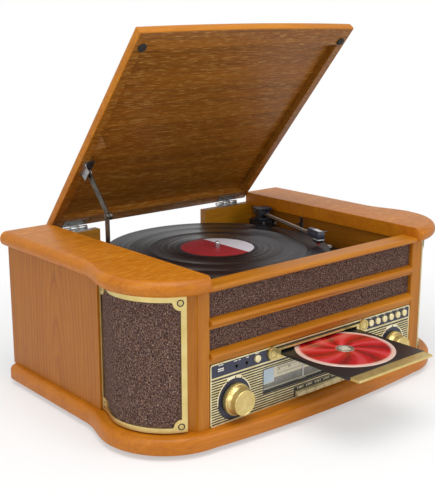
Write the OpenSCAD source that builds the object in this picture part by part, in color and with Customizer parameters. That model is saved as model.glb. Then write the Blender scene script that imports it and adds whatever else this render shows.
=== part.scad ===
// Wooden stereo music centre: record deck under a lifting lid, CD drawer, radio dial, two corner
// speakers. Sizes are in millimetres. Lengths are laid out with y = 0 at the face of the control
// panel, x = 0 at the middle of the front and z = 0 on the floor; placed() then moves the origin
// under the middle of the whole piece as it stands with the lid up and the drawer out.

/* [Cabinet] */
// Clear width between the two side units
bay_w = 353; // [340:1:380]
// Depth from the face of the control panel to the back edge
cabinet_d = 330; // [325:1:360]
// Height of the top boards above the floor
cabinet_h = 205; // [203:1:230]
// Width of a side unit, from the bay to the outside of its side panel
unit_w = 63; // [58:1:70]
// How far the top boards and the plinth stand out past the side panels
overhang = 10; // [6:1:14]
// Thickness of a top board
board_t = 19; // [15:1:20]
// Thickness of the plinth
plinth_t = 19.5; // [16:0.5:22]
// Radius of the round upper edge of the plinth
plinth_round = 7.5; // [3:0.5:9]
// Height of the rubber feet
foot_h = 6; // [3:0.5:12]
// Radius of a rubber foot
foot_r = 11; // [8:0.5:14]
// Thickness of the side panels
side_t = 12; // [9:0.5:14]
// Thickness of the walls beside the record bay
wall_t = 9; // [6:0.5:10]
// Thickness of the rear wall that carries the hinges
rear_t = 12; // [10:0.5:15]
// How far the front of lid and plinth bows forward in the middle
bow = 10; // [4:0.5:16]
// Radius of the rounded back corners in plan
back_r = 12; // [11:0.5:20]

/* [Speaker corners] */
// Radius of the curved speaker corner in plan
corner_r = 72.5; // [68:0.5:78]
// How far the corner's front lies behind the face of the control panel
corner_setback = 1.5; // [1:0.5:5]
// How far the boards stand out past the speaker corner
board_nose = 13.5; // [11:0.5:16]
// Length of the run from the corner's widest point to the side panel
tail_l = 47; // [40:1:60]
// Width of the fascia posts
post_w = 26.5; // [24:0.5:30]
// Thickness of the metal speaker frames
frame_t = 2; // [1.5:0.1:3]
// Width of the frames' long rails
frame_rail = 6.5; // [4:0.5:9]
// Radius of the lobes round the frames' corner screws
ear_r = 8.5; // [7:0.5:10]
// Thickness of the cloth on its backing
cloth_t = 3; // [2:0.5:4]
// Overall radius of a speaker
speaker_r = 33; // [28:0.5:36]

/* [Front] */
// Height of the control panel
panel_h = 75; // [75:0.5:80]
// Thickness of the control panel's face
panel_t = 3; // [2:0.5:4]
// Height of each cross rail
rail_h = 12; // [9:0.5:14]
// Height of the strip of cloth between the two cross rails
lower_cloth_h = 26; // [20:1:30]
// Height of the display window
window_h = 28.5; // [24:0.5:30]
// Width of the display window
window_w = 184; // [170:1:190]
// Distance of the knobs' axes from the ends of the panel
knob_inset = 35.5; // [30:0.5:36]
// Height of the knobs' axes above the bottom of the panel
knob_up = 27; // [25.5:0.5:29]
// Radius of a knob's fluted skirt
skirt_r = 19; // [16:0.5:21]
// Radius of a knob's plain cap
cap_r = 15; // [12:0.5:15.5]
// How far a knob stands out from the panel
knob_l = 20; // [15:0.5:24]
// Radius of the round buttons
button_r = 4.4; // [3.5:0.1:5]
// Number of piano keys
keys = 6; // [6:1:6]
// Distance from one piano key to the next
key_pitch = 15.3; // [13:0.1:15.5]
// Height of a piano key
key_h = 6.8; // [5:0.1:7]

/* [CD drawer] */
// Width of the disc tray
tray_w = 132; // [128:0.5:134]
// Thickness of the disc tray
tray_t = 3.6; // [3.2:0.1:4.4]
// Height of the tray's top face above the floor
tray_z = 91.2; // [90.6:0.1:91.6]
// How far the drawer stands out of the panel when open
tray_out = 122; // [118:0.5:126]
// Depth of the metal lip on the front of the tray
lip_d = 14; // [8:0.5:16]
// Radius of a compact disc
cd_r = 60; // [60:1:60]

/* [Record deck] */
// Radius of a long-playing record
record_r = 151; // [145:0.5:151.5]
// Thickness of a record
record_t = 1.6; // [1.2:0.1:2.2]
// Distance of the platter's axis in front of the cabinet's back edge
platter_in = 138.5; // [135:0.5:142]
// Radius of the platter
platter_r = 98; // [90:1:125]
// Height of the record's top face above the floor
record_z = 171.2; // [169:0.1:172]
// Thickness of the rubber mat
mat_t = 3; // [2:0.5:4]
// Height of the deck plate's top face above the floor
deck_z = 152; // [150:0.5:153]
// Radius of the spindle
spindle_r = 3.6; // [3.5:0.05:3.7]
// Sideways distance of the tonearm's pivot from the platter's axis
pivot_x = 158; // [157:0.5:160]
// Distance of the tonearm's pivot behind the platter's axis
pivot_back = 80.5; // [78:0.5:84]
// Distance from the tonearm's pivot to its stylus
arm_l = 172; // [170:0.1:174]
// Angle between the tonearm and the side wall, with the stylus over the outer groove
arm_turn = 16.9; // [14:0.1:17.5]
// Height of the tonearm's tube above the floor
arm_z = 183.5; // [182:0.1:184.5]

/* [Lid] */
// Angle to which the lid stands open
lid_open = 50.5; // [40:0.5:55]
// Thickness of the lid
lid_t = 13.5; // [11:0.5:16]
// Gap between the lid and each top board
lid_gap = 0.7; // [0.5:0.1:1.5]
// Depth of the recess in the lid's underside
recess_d = 7; // [4:0.5:9]
// Width of the lid's rim at each side
rim_w = 28; // [20:0.5:32]
// Distance of the hinge axis behind the cabinet
hinge_back = 1.5; // [1:0.1:3]
// Radius of the hinge knuckles
knuckle_r = 2.3; // [2.1:0.1:2.6]
// Length of a hinge
hinge_l = 40; // [30:1:46]

/* [Hidden] */
$fn = 48;
running_gap = 0.05;
free_gap = 0.3;

// Cabinet levels and edges
half_bay = bay_w / 2;
side_x = half_bay + unit_w;
board_x = side_x + overhang;
plinth_top = foot_h + plinth_t;
board_z = cabinet_h - board_t;
board_r = corner_r + board_nose;
corner_y = corner_r + corner_setback;
front_y = corner_y - board_r;
swell_l = 67;
wall_x = half_bay + 1.5;
wall_inset = 18;
ledge_w = 10;
ledge_h = 10;

// Fascia levels
panel_w = bay_w - 6.2;
panel_top = plinth_top + panel_h;
post_x = panel_w / 2 + 0.6;
lower_rail_z = panel_top + 0.5;
lower_rail_h = rail_h + 3;
lower_cloth_z = lower_rail_z + lower_rail_h;
upper_rail_z = lower_cloth_z + lower_cloth_h;
upper_cloth_z = upper_rail_z + rail_h;
top_rail_h = 6.3;
top_rail_back = 20;
rail_nose = 5;
rail_back = 18;
cloth_front = 5;
cloth_back = 14;

// Grille corner: angles run from the front (0) round to the side (90) and on along the tail
tail_end = 150;
tail_in = half_bay + corner_r - side_x + 2;
grille_start = asin((post_x + post_w - half_bay) / corner_r) + 0.4;
grille_bottom = plinth_top + 2;
grille_top = board_z - 1.5;
side_front = corner_y + tail_l + 0.6;
cloth_in = frame_t + 0.2;
cloth_start = asin((post_x + post_w - half_bay + 0.5) / (corner_r - cloth_in - cloth_t));

// Control panel
knob_x = panel_w / 2 - knob_inset;
knob_z = plinth_top + knob_up;
window_z = plinth_top + 20.5;
strip_z = plinth_top + 59;
strip_h = 13;
button_z = strip_z + 7.4;
button_x = tray_w / 2 + 29;
button_pitch = (panel_w / 2 - 11.9 - button_x) / 5;
power_x = -103;
shaft_r = 3;
key_w = key_pitch - 1;
key_x = -38.5;
key_z = plinth_top + 2;
key_out = 5;
rim = 1.6;
trim_t = 0.5;
stripe_pitch = 3.1;
stripe_w = 1.3;
scale_y = 8;
pointer_x = -20;
board_y = 14;

// CD drawer
tray_bottom = tray_z - tray_t;
tray_front = lip_d - tray_out;
tray_l = 150;
lip_w = tray_w - 4.5;
slot_h = tray_t + 4.2;
slot_z = tray_bottom - 0.8;
disc_y = tray_front + 4.9 + cd_r + 0.6;
disc_t = 1.2;
disc_z = tray_z + 0.3 - disc_t;
tray_travel = tray_out - 4;
surround_t = 2.5;
lobe_r = 7.6;
lobe_x = tray_w / 2 + 13.5;
lobe_z = strip_z + 8;

// Record deck
platter_y = cabinet_d - platter_in;
record_bottom = record_z - record_t;
platter_top = record_bottom - mat_t;
platter_h = 10.6;
platter_z = platter_top - platter_h;
deck_t = 3;
deck_h = 6;
deck_front = rail_back + 0.5;
deck_back = cabinet_d - rear_t - 0.5;
ring_r = 55;
pulley_r = 5.3;
pulley_d = 76;
pulley_x = -pulley_d * sin(45);
pulley_y = platter_y + pulley_d * cos(45);
belt_z = platter_z + 1.2;
belt_h = 4;
belt_t = 1;
pivot_y = platter_y + pivot_back;
tower_w = 26;
tower_l = 34;
tower_top = arm_z - 9.6;
clip_turn = 1.5;
clip_l = 77;
tube_r = 2.6;
weight_r = 6.2;
weight_y = 11.5;
weight_l = 7.5;

// Lid and hinges
lid_w = bay_w - 2 * lid_gap;
lid_z = board_z + 9;
hinge_y = cabinet_d + hinge_back;
hinge_z = rear_top() + knuckle_r + 0.5;
hinge_x = 137;
pin_r = 1;
leaf_t = 1.2;
notch_half = sqrt(pow(record_r, 2) - pow(cabinet_d - rear_t - platter_y, 2)) + 1.5;
notch_left = -notch_half - 20;
notch_right = notch_half;
notch_z = record_bottom - 9.6;
lid_rear_y = cabinet_d;
rim_front = 31;
rim_rear = 18;

// Stay: two links that fold between the cabinet and the lid
stay_x = -(half_bay - 10.5);
stay_foot_y = hinge_y - 124.5;
stay_foot_z = record_z - 1.2;
lower_link = 64;
upper_link = 64;
link_w = 8;
link_t = 1.6;
stay_pin_r = 2;
stay_s = 121.5;
stay_drop = 8.4;
stay_head = lid_point(stay_s, lid_z - hinge_z - stay_drop, lid_open);
stay_foot = [stay_foot_y, stay_foot_z];
stay_knee = knee(stay_foot, stay_head, lower_link, upper_link);

// The origin lies under the middle of the open piece, from the drawer's lip to the record's rim
setback = (platter_y + record_r - tray_out) / 2;

wood = "#b8741f";
dark_wood = "#8f5614";
gold = "#cdb76a";
black = "#1d1c20";
steel = "#b9bbbd";
cloth_brown = "#5d4640";

// ---- Placing ----

function rear_top() = board_z + 4;

module placed() translate([0, -setback, 0]) children();

module both_sides() {
    children();
    mirror([1, 0, 0]) children();
}

// A point on the lid, s forward of the hinge axis and up from it, with the lid turned by angle
function lid_point(s, up, angle) = [
    hinge_y - s * cos(angle) + up * sin(angle),
    hinge_z + s * sin(angle) + up * cos(angle)];

// Parts drawn with the lid shut stand open
module on_open_lid() {
    translate([0, hinge_y, hinge_z]) rotate([-lid_open, 0, 0]) translate([0, -hinge_y, -hinge_z])
        children();
}

// Where two links of lengths a and b meet, in front of the line from p to q
function knee(p, q, a, b) =
    let (d = norm(q - p), k = (a * a - b * b + d * d) / (2 * d), h = sqrt(a * a - k * k))
    p + (q - p) * k / d + h * [-(q - p)[1], (q - p)[0]] / d;

// Angle of the line from p to q, from the horizontal toward the back
function turn_of(p, q) = atan2(q[1] - p[1], q[0] - p[0]);

module arm_frame(turn) translate([pivot_x, pivot_y, 0]) rotate([0, 0, -turn]) children();

// ---- Outlines ----

function arc(cx, cy, r, a0, a1, n) =
    [for (i = [0:n]) let (a = a0 + (a1 - a0) * i / n) [cx + r * cos(a), cy + r * sin(a)]];

// Right-hand outline of plinth and top boards from the bay round to the back, drawn in by inset
function side_outline(inset) = concat(
    arc(half_bay, corner_y, board_r - inset, -90, 0, 16),
    [for (i = [1:9]) let (t = i / 9, swell = half_bay + board_r - board_x)
        [half_bay + board_r - inset - swell * (1 - cos(180 * t)) / 2, corner_y + swell_l * t]],
    arc(board_x - back_r, cabinet_d - back_r, back_r - inset, 0, 90, 5));

function bow_y(x) = front_y - bow * (1 - pow(x / half_bay, 2));

function mirrored(points) = [for (i = [len(points) - 1:-1:1]) [-points[i][0], points[i][1]]];

function plinth_outline(inset) =
    let (right = concat(
        [for (i = [0:7]) let (x = half_bay * i / 8) [x, bow_y(x) + inset]], side_outline(inset)))
    concat(right, mirrored(right));

function lid_outline(inset) =
    let (right = concat(
        [for (i = [0:8]) let (x = (lid_w / 2 - inset) * i / 8) [x, bow_y(x) + inset]],
        [[lid_w / 2 - inset, lid_rear_y - inset]]))
    concat(right, mirrored(right));

function raised(outline, z) = [for (p = outline) [p[0], p[1], z]];

// A solid board through closed outlines with the same number of points, lowest first
module moulded(rings) {
    n = len(rings[0]);
    m = len(rings);
    walls = [for (k = [0:m - 2], i = [0:n - 1]) let (j = (i + 1) % n, a = k * n, b = a + n)
        each [[a + i, b + i, b + j], [a + i, b + j, a + j]]];
    polyhedron([for (r = rings) each r], concat(
        [[for (i = [0:n - 1]) i]], walls, [[for (i = [n - 1:-1:0]) (m - 1) * n + i]]));
}

// A point on the speaker corner at angle s, standing out by off
function grille_point(s, off) =
    s <= 90
    ? [half_bay + (corner_r + off) * sin(s), corner_y - (corner_r + off) * cos(s)]
    : let (t = (s - 90) / (tail_end - 90), slope = [-tail_in * PI / 2 * sin(180 * t), tail_l])
      [half_bay + corner_r - tail_in * (1 - cos(180 * t)) / 2 + off * slope[1] / norm(slope),
       corner_y + tail_l * t - off * slope[0] / norm(slope)];

function grille_facing(s) =
    s <= 90 ? s : 90 + atan2(tail_in * PI / 2 * sin(180 * (s - 90) / (tail_end - 90)), tail_l);

// A curved upright strip of the speaker corner
module corner_strip(s0, s1, off0, off1, z0, z1) {
    n = 20;
    outer = [for (i = [0:n]) grille_point(s0 + (s1 - s0) * i / n, off1)];
    inner = [for (i = [n:-1:0]) grille_point(s0 + (s1 - s0) * i / n, off0)];
    translate([0, 0, z0]) linear_extrude(z1 - z0) polygon(concat(outer, inner));
}

module on_grille(s, z) {
    p = grille_point(s, 0);
    translate([p[0], p[1], z]) rotate([90, 0, grille_facing(s)]) children();
}

// A plate in the plane of the control panel, from y0 back to y1
module upright(y0, y1) translate([0, y1, 0]) rotate([90, 0, 0]) linear_extrude(y1 - y0) children();

module rounded_square(x0, z0, x1, z1, r) {
    translate([x0 + r, z0]) square([x1 - x0 - 2 * r, z1 - z0]);
    translate([x0, z0 + r]) square([x1 - x0, z1 - z0 - 2 * r]);
    for (x = [x0 + r, x1 - r], z = [z0 + r, z1 - r]) translate([x, z]) circle(r);
}

// A rod along +y with its axis at (x, z)
module rod_y(x, y0, y1, z, r) translate([x, y0, z]) rotate([-90, 0, 0]) cylinder(r = r, h = y1 - y0);

// A rod along +x with its axis at (y, z)
module rod_x(x0, x1, y, z, r) translate([x0, y, z]) rotate([0, 90, 0]) cylinder(r = r, h = x1 - x0);

module block(x0, y0, z0, x1, y1, z1) translate([x0, y0, z0]) cube([x1 - x0, y1 - y0, z1 - z0]);

// ---- Cabinet ----

module plinth() color(wood) placed() {
    n = 5;
    foot = 1.5;
    round_levels = [for (i = [0:n]) let (a = 90 * i / n)
        [plinth_top - plinth_round * (1 - sin(a)), plinth_round * (1 - cos(a))]];
    levels = concat([[foot_h, foot], [foot_h + foot, 0]], round_levels);
    moulded([for (l = levels) raised(plinth_outline(l[1]), l[0])]);
}

foot_x = side_x - 24;
foot_front = 26;
foot_rear = cabinet_d - 30;

module feet() color(black) placed()
    both_sides() for (y = [foot_front, foot_rear]) translate([foot_x, y, 0]) {
        difference() {
            cylinder(r1 = foot_r - 1.5, r2 = foot_r, h = foot_h);
            translate([0, 0, -1]) cylinder(r = foot_r / 3, h = 2.5);
        }
    }

module side_panels() color(wood) placed()
    both_sides() block(side_x - side_t, side_front, plinth_top, side_x, cabinet_d - 2, board_z);

module top_board() {
    n = 8;
    r = board_t / 2;
    moulded([for (i = [0:n]) let (a = -90 + 180 * i / n, inset = r * (1 - cos(a)))
        raised(concat(side_outline(inset), [[half_bay, cabinet_d - inset]]), board_z + r * (1 + sin(a)))]);
}

module top_board_left() color(wood) placed() mirror([1, 0, 0]) top_board();

module top_board_right() color(wood) placed() top_board();

module inner_walls() color(wood) placed() both_sides() {
    block(wall_x, wall_inset, plinth_top, wall_x + wall_t, cabinet_d - 4.5, board_z);
    block(wall_x - ledge_w, wall_inset + 12, deck_z - deck_h - ledge_h,
        wall_x, cabinet_d - rear_t - 4, deck_z - deck_h);
}

module rear_wall() color(wood) placed() difference() {
    union() {
        block(-wall_x, cabinet_d - rear_t, rear_low, wall_x, cabinet_d, board_z);
        block(-half_bay, cabinet_d - rear_t, board_z - 1, half_bay, cabinet_d, rear_top());
    }
    block(notch_left, cabinet_d - rear_t - 1, notch_z, notch_right, cabinet_d + 1, rear_top() + 1);
}

rear_low = deck_z - deck_h - 6;
cover_t = 3.5;
cover_y = cabinet_d - cover_t - 1;
inlet_x = -158;
inlet_z = plinth_top + 22;
phono_x = 138;
phono_z = plinth_top + 24;

module back_cover() color(black) placed() difference() {
    block(-side_x + side_t, cover_y, plinth_top, side_x - side_t, cover_y + cover_t, board_z);
    block(-wall_x - 0.3, cover_y - 1, rear_low - 0.3, wall_x + 0.3, cover_y + cover_t + 1, board_z + 1);
    for (row = [0:3], side = [-1, 1]) {
        z = plinth_top + 52 + 9 * row;
        block(side * 100 - 32, cover_y - 1, z, side * 100 + 32, cover_y + cover_t + 1, z + 4.2);
    }
    rod_y(inlet_x, cover_y - 1, cover_y + cover_t + 1, inlet_z, 8);
    for (x = [0, 18]) rod_y(phono_x + x, cover_y - 1, cover_y + cover_t + 1, phono_z, 5.4);
}

module posts() color(wood) placed() both_sides()
    translate([0, 0, plinth_top]) linear_extrude(board_z - plinth_top) difference() {
        translate([post_x, -1]) square([post_w, wall_inset + 1]);
        translate([post_x + post_w, -1]) circle(9.5);
    }

// Profile of a cross rail in the y-z plane: flat back, sloping top and a round nose
module rail_profile(h, nose_up) {
    nose_r = 3.4;
    polygon([[rail_back, 0], [rail_back, h], [2, h], [-1, h - 1.5], [nose_r - rail_nose, nose_up],
        [0, nose_up - nose_r], [0, 0]]);
    translate([nose_r - rail_nose, nose_up]) circle(nose_r);
}

module along_front(half_w) rotate([90, 0, 90]) translate([0, 0, -half_w]) linear_extrude(2 * half_w)
    children();

module fascia_rails() color(wood) placed() {
    for (rail = [[lower_rail_z, lower_rail_h, 9.4], [upper_rail_z, rail_h, 7.2]])
        translate([0, 0, rail[0]]) along_front(post_x) rail_profile(rail[1], rail[2]);
    along_front(half_bay) {
        translate([-2, board_z]) square([top_rail_back + 2, top_rail_h]);
        translate([-2, board_z + top_rail_h - 3]) circle(3);
        translate([-4, board_z]) square([3, 3]);
    }
}

module cloth_panels() color(cloth_brown) placed() {
    block(-post_x, cloth_front, lower_cloth_z, post_x, cloth_back, upper_rail_z);
    block(-post_x, cloth_front, upper_cloth_z, post_x, cloth_back, board_z);
    both_sides() corner_strip(cloth_start, tail_end - 0.5, -cloth_in - cloth_t, -cloth_in,
        grille_bottom - 1.5, grille_top + 1);
}

// ---- Speakers ----

rail_turn = frame_rail / corner_r * 180 / PI;
ear_in = 7;
ear_turn = ear_in / corner_r * 180 / PI;
tail_ear = tail_end - 8;
screw_r = 2.6;

module at_ears()
    for (s = [grille_start + ear_turn, tail_ear], z = [grille_bottom + ear_in, grille_top - ear_in])
        on_grille(s, z) children();

module grille_frames() color(gold) placed() both_sides() difference() {
    union() {
        difference() {
            corner_strip(grille_start, tail_end, -frame_t, 0, grille_bottom, grille_top);
            corner_strip(grille_start + rail_turn, tail_end - 4.5, -frame_t - 1, 1,
                grille_bottom + 6, grille_top - 6);
        }
        intersection() {
            corner_strip(grille_start, tail_end, -frame_t, 0, grille_bottom, grille_top);
            at_ears() translate([0, 0, -6]) cylinder(r = ear_r, h = 12);
        }
    }
    at_ears() translate([0, 0, -0.9]) cylinder(r = screw_r + 0.2, h = 4);
}

module screw_head(r) {
    difference() {
        cylinder(r1 = r, r2 = r - 0.7, h = 1.1);
        for (a = [0, 90]) rotate([0, 0, a + 20]) translate([-r * 0.6, -0.35, 0.5]) cube([r * 1.2, 0.7, 1]);
    }
}

module fixing_screws() color(steel) placed() {
    both_sides() at_ears() translate([0, 0, -0.9]) screw_head(screw_r);
    both_sides() for (z = [plinth_top + 6, board_z - 6], x = [side_x - side_t - 8, wall_x + wall_t / 2])
        translate([x, cover_y + cover_t, z]) rotate([-90, 0, 0]) screw_head(3);
    both_sides() for (x = [30, 110]) translate([x, cover_y + cover_t, plinth_top + 6]) rotate([-90, 0, 0])
        screw_head(3);
}

baffle_t = 6;
baffle_a = [post_x + post_w + 0.4, 15];
baffle_b = [side_x - 8, side_front];
baffle_l = norm(baffle_b - baffle_a);
baffle_dir = (baffle_b - baffle_a) / baffle_l;
baffle_out = [baffle_dir[1], -baffle_dir[0]];
speaker_mid = baffle_a + baffle_dir * baffle_l * 0.52;
speaker_z = (plinth_top + board_z) / 2;
basket_r = speaker_r - 4;

module at_speaker() translate([speaker_mid[0], speaker_mid[1], speaker_z])
    rotate([90, 0, atan2(baffle_out[0], -baffle_out[1])]) children();

module speaker_baffles() color(dark_wood) placed() both_sides() difference() {
    rear_a = baffle_a - baffle_out * baffle_t;
    rear_b = baffle_b - baffle_out * baffle_t;
    to_post = (wall_inset - rear_a[1]) / baffle_dir[1];
    to_side = (rear_b[1] - baffle_b[1]) / baffle_dir[1];
    translate([0, 0, plinth_top]) linear_extrude(board_z - plinth_top) polygon([baffle_a, baffle_b,
        rear_b - baffle_dir * to_side, rear_a + baffle_dir * to_post, [baffle_a[0], wall_inset]]);
    at_speaker() translate([0, 0, -baffle_t * 2]) cylinder(r = basket_r + 0.3, h = baffle_t * 4);
}

module speakers() color(black) placed() both_sides() at_speaker() rotate_extrude() {
    // flange and pressed basket
    translate([basket_r - 3, 0]) square([7, 1.6]);
    polygon([[basket_r - 1.5, 0.5], [basket_r, 0.5], [19, -12], [19, -16], [16.5, -16], [17.5, -11.5]]);
    // magnet with its plates
    translate([0, -24.5]) square([15.5, 8]);
    translate([0, -17.2]) square([17, 2.4]);
    // roll surround, cone and dust cap
    translate([basket_r - 3.2, 1.2]) circle(2.2);
    polygon([[8, -10.5], [8, -9.5], [basket_r - 4, 1.6], [basket_r - 4, 0.2], [9, -10.8]]);
    polygon([[0, -16], [8, -16], [8.6, -9.6], [6, -6.6], [0, -5.2]]);
}

// ---- Control panel ----

module at_knobs() for (side = [-1, 1]) translate([side * knob_x, 0, knob_z]) children();

module knob_hole() rotate([-90, 0, 0]) translate([0, 0, -1]) cylinder(r = shaft_r + 1, h = panel_t + 2);

function round_button_x(i) = button_x + button_pitch * (i - 1);

usb_x = -158;
usb_w = 13.2;
usb_h = 5.8;
jack_x = [-134.5, -119];
jack_r = 4;

module control_panel() color(black) placed() difference() {
    union() {
        upright(0, panel_t) rounded_square(-panel_w / 2, plinth_top, panel_w / 2, panel_top, 3);
        upright(panel_t - 0.5, 12) difference() {
            rounded_square(-panel_w / 2 + 1, plinth_top + 1, panel_w / 2 - 1, panel_top - 1, 2);
            rounded_square(-panel_w / 2 + 2.3, plinth_top + 2.3, panel_w / 2 - 2.3, panel_top - 2.3, 1);
        }
    }
    block(-window_w / 2, -1, window_z, window_w / 2, panel_t + 1, window_z + window_h);
    block(-tray_w / 2 - 0.8, -1, slot_z, tray_w / 2 + 0.8, panel_t + 1, slot_z + slot_h);
    block(key_x - 1, -1, key_z - 0.3, key_x + key_pitch * keys, panel_t + 1, key_z + key_h + 0.3);
    block(key_x - 1.5, panel_t, key_z - 1.8, key_x + key_pitch * keys + 0.5, 13, key_z + key_h + 1.8);
    at_knobs() knob_hole();
    for (i = [1:6]) rod_y(round_button_x(i), -1, panel_t + 1, button_z, button_r + free_gap);
    rod_y(power_x, -1, panel_t + 1, button_z, button_r + free_gap);
    block(usb_x - usb_w / 2, -1, button_z - usb_h / 2, usb_x + usb_w / 2, panel_t + 1, button_z + usb_h / 2);
    for (x = jack_x) rod_y(x, -1, panel_t + 1, button_z - 1.4, jack_r);
}

knob_clear = 25;
legend_h = 5;

module panel_trim() color(gold) placed() upright(-trim_t, 0) {
    difference() {
        rounded_square(-panel_w / 2, plinth_top, panel_w / 2, panel_top, 3);
        rounded_square(-panel_w / 2 + rim, plinth_top + rim, panel_w / 2 - rim, panel_top - rim, 2);
        for (side = [-1, 1]) translate([side * lobe_x, lobe_z]) circle(lobe_r + free_gap);
    }
    translate([-panel_w / 2 + rim / 2, strip_z - 2.4]) square([panel_w - rim, 2]);
    difference() {
        for (z = [plinth_top + 3.4:stripe_pitch:strip_z - 4])
            translate([-panel_w / 2 + rim / 2, z]) square([panel_w - rim, stripe_w]);
        for (side = [-1, 1]) translate([side * knob_x, knob_z]) circle(knob_clear, $fn = 64);
        translate([-window_w / 2 - 1.5, window_z - 1.5]) square([window_w + 3, window_h + 3]);
        translate([key_x - 3.5, plinth_top]) square([key_pitch * keys + 5, key_z - plinth_top + key_h + legend_h]);
    }
}

module display_window() color("#c9d2d6", 0.35) placed() {
    block(-window_w / 2 + 0.1, 1, window_z + 0.1, window_w / 2 - 0.1, panel_t, window_z + window_h - 0.1);
    upright(panel_t, panel_t + 1)
        rounded_square(-window_w / 2 - 3, window_z - 3, window_w / 2 + 3, window_z + window_h + 3, 2);
}

lcd_w = 24;

module dial_scale() color("#e3d9bd") placed() {
    difference() {
        block(-window_w / 2 - 2, scale_y, window_z - 1.5, window_w / 2 + 2, scale_y + 1.6, window_z + window_h + 1.5);
        block(-window_w / 2, scale_y - 1, window_z + 6, -window_w / 2 + lcd_w, scale_y + 3, window_z + window_h - 0.5);
    }
    block(-window_w / 2 + 0.2, scale_y - 1, window_z + 6.2, -window_w / 2 + lcd_w - 0.2, scale_y + 3,
        window_z + window_h - 0.7);
    for (side = [-1, 1]) rod_y(side * (window_w / 2 - 6), scale_y + 1.6, board_y, window_z + 14, 2.5);
}

module dial_pointer() color("#f2efe6") placed() {
    block(pointer_x - 0.7, 5.6, window_z - 4, pointer_x + 0.7, 6.8, window_z + window_h - 2);
    block(pointer_x - 5, 5.6, window_z - 5.5, pointer_x + 5, 6.8, window_z - 1.2);
    block(pointer_x - 5, 6.3, window_z - 5.5, pointer_x + 5, 11, window_z - 1.8);
    block(pointer_x - 5, 9.9, window_z - 2.3, pointer_x + 5, 11, window_z + 1);
}

module drawer_surround() color(gold) placed() difference() {
    union() {
        upright(-surround_t, 0) {
            rounded_square(-lobe_x, strip_z, lobe_x, strip_z + strip_h - 1, 3);
            for (side = [-1, 1]) translate([side * lobe_x, lobe_z]) circle(lobe_r);
        }
        for (side = [-1, 1]) rod_y(side * lobe_x, -surround_t - 0.8, -surround_t + 0.5, lobe_z, lobe_r - 3.4);
        upright(-0.5, panel_t + 2) difference() {
            translate([-tray_w / 2 - 0.8, slot_z]) square([tray_w + 1.6, slot_h]);
            translate([-tray_w / 2 - 0.4, slot_z + 0.4]) square([tray_w + 0.8, slot_h - 0.8]);
        }
    }
    block(-tray_w / 2 - 0.4, -surround_t - 1, slot_z + 0.4, tray_w / 2 + 0.4, 1, slot_z + slot_h - 0.4);
}

module sockets() color(steel) placed() {
    difference() {
        block(usb_x - usb_w / 2, -0.3, button_z - usb_h / 2, usb_x + usb_w / 2, board_y, button_z + usb_h / 2);
        block(usb_x - usb_w / 2 + 0.6, -1, button_z - usb_h / 2 + 0.6, usb_x + usb_w / 2 - 0.6, board_y - 1,
            button_z + usb_h / 2 - 0.6);
    }
    block(usb_x - 5.4, 1.5, button_z + 0.1, usb_x + 5.4, board_y - 0.5, button_z + 1.9);
    for (x = jack_x) difference() {
        union() {
            rod_y(x, -0.3, board_y, button_z - 1.4, jack_r - 0.05);
            rod_y(x, panel_t, board_y, button_z - 1.4, jack_r + 1.2);
        }
        rod_y(x, -1, board_y - 1, button_z - 1.4, 1.8);
    }
    for (x = [0, 18]) difference() {
        union() {
            rod_y(phono_x + x, cover_y - 8, cover_y + cover_t + 7, phono_z, 4.1);
            rod_y(phono_x + x, cover_y - 4, cover_y, phono_z, 7);
        }
        rod_y(phono_x + x, cover_y + cover_t - 4, cover_y + cover_t + 8, phono_z, 1.7);
    }
    difference() {
        union() {
            rod_y(inlet_x, cover_y - 6, cover_y + cover_t + 3, inlet_z, 7.6);
            rod_y(inlet_x, cover_y + cover_t, cover_y + cover_t + 3, inlet_z, 10);
        }
        rod_y(inlet_x, cover_y - 7, cover_y + cover_t + 4, inlet_z, 3.4);
    }
}

// Fluted skirt, waist and plain cap on a shaft, turned about the y axis
module knob() {
    flutes = 40;
    skirt_y = 9;
    outline = [for (i = [0:2 * flutes - 1]) let (a = 180 * i / flutes, r = skirt_r - (i % 2) * 1)
        [r * cos(a), r * sin(a)]];
    rotate([90, 0, 0]) {
        translate([0, 0, 1]) linear_extrude(skirt_y - 2) polygon(outline);
        rotate_extrude($fn = 72) polygon(concat(
            [[0, 0.6], [skirt_r - 2.2, 0.6], [skirt_r - 1.2, 1.4], [skirt_r - 1.2, skirt_y - 1.4],
             [cap_r + 0.6, skirt_y + 0.4], [cap_r - 0.6, skirt_y + 1.6], [cap_r - 0.6, knob_l - 3]],
            arc(cap_r - 1.6, knob_l - 1.6, 1.6, 0, 90, 4),
            [[cap_r - 3, knob_l], [cap_r - 3.4, knob_l - 0.5], [0, knob_l - 0.3]]));
    }
    rotate([-90, 0, 0]) translate([0, 0, -1]) cylinder(r = shaft_r, h = board_y - 1);
}

module volume_knob() color(gold) placed() translate([-knob_x, 0, knob_z]) knob();

module tuning_knob() color(gold) placed() translate([knob_x, 0, knob_z]) knob();

button_out = 3;
button_in = 3.6;

module push_button(x) {
    translate([x, panel_t + button_in, button_z]) rotate([90, 0, 0]) rotate_extrude() polygon(concat(
        [[0, 0], [button_r + 1.4, 0], [button_r + 1.4, button_in - free_gap], [button_r, button_in - free_gap]],
        arc(button_r - 0.8, panel_t + button_in + button_out - 0.8, 0.8, 0, 90, 4),
        [[0, panel_t + button_in + button_out + 0.3]]));
}

module power_button() color(gold) placed() push_button(power_x);

module round_button(i) color(gold) placed() push_button(round_button_x(i));

module piano_key(i) color(gold) placed() {
    x = key_x + key_pitch * (i - 1);
    rotate([90, 0, 90]) translate([0, 0, x]) linear_extrude(key_w) polygon([[-key_out, key_z + 1],
        [-key_out + 0.8, key_z], [10, key_z], [10, key_z + key_h], [-key_out + 2.5, key_z + key_h],
        [-key_out, key_z + key_h - 1.6]]);
    block(x + 4, 9, key_z - 1.2, x + key_w - 4, 10, key_z + key_h + 1.2);
}

// ---- CD drawer ----

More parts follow.
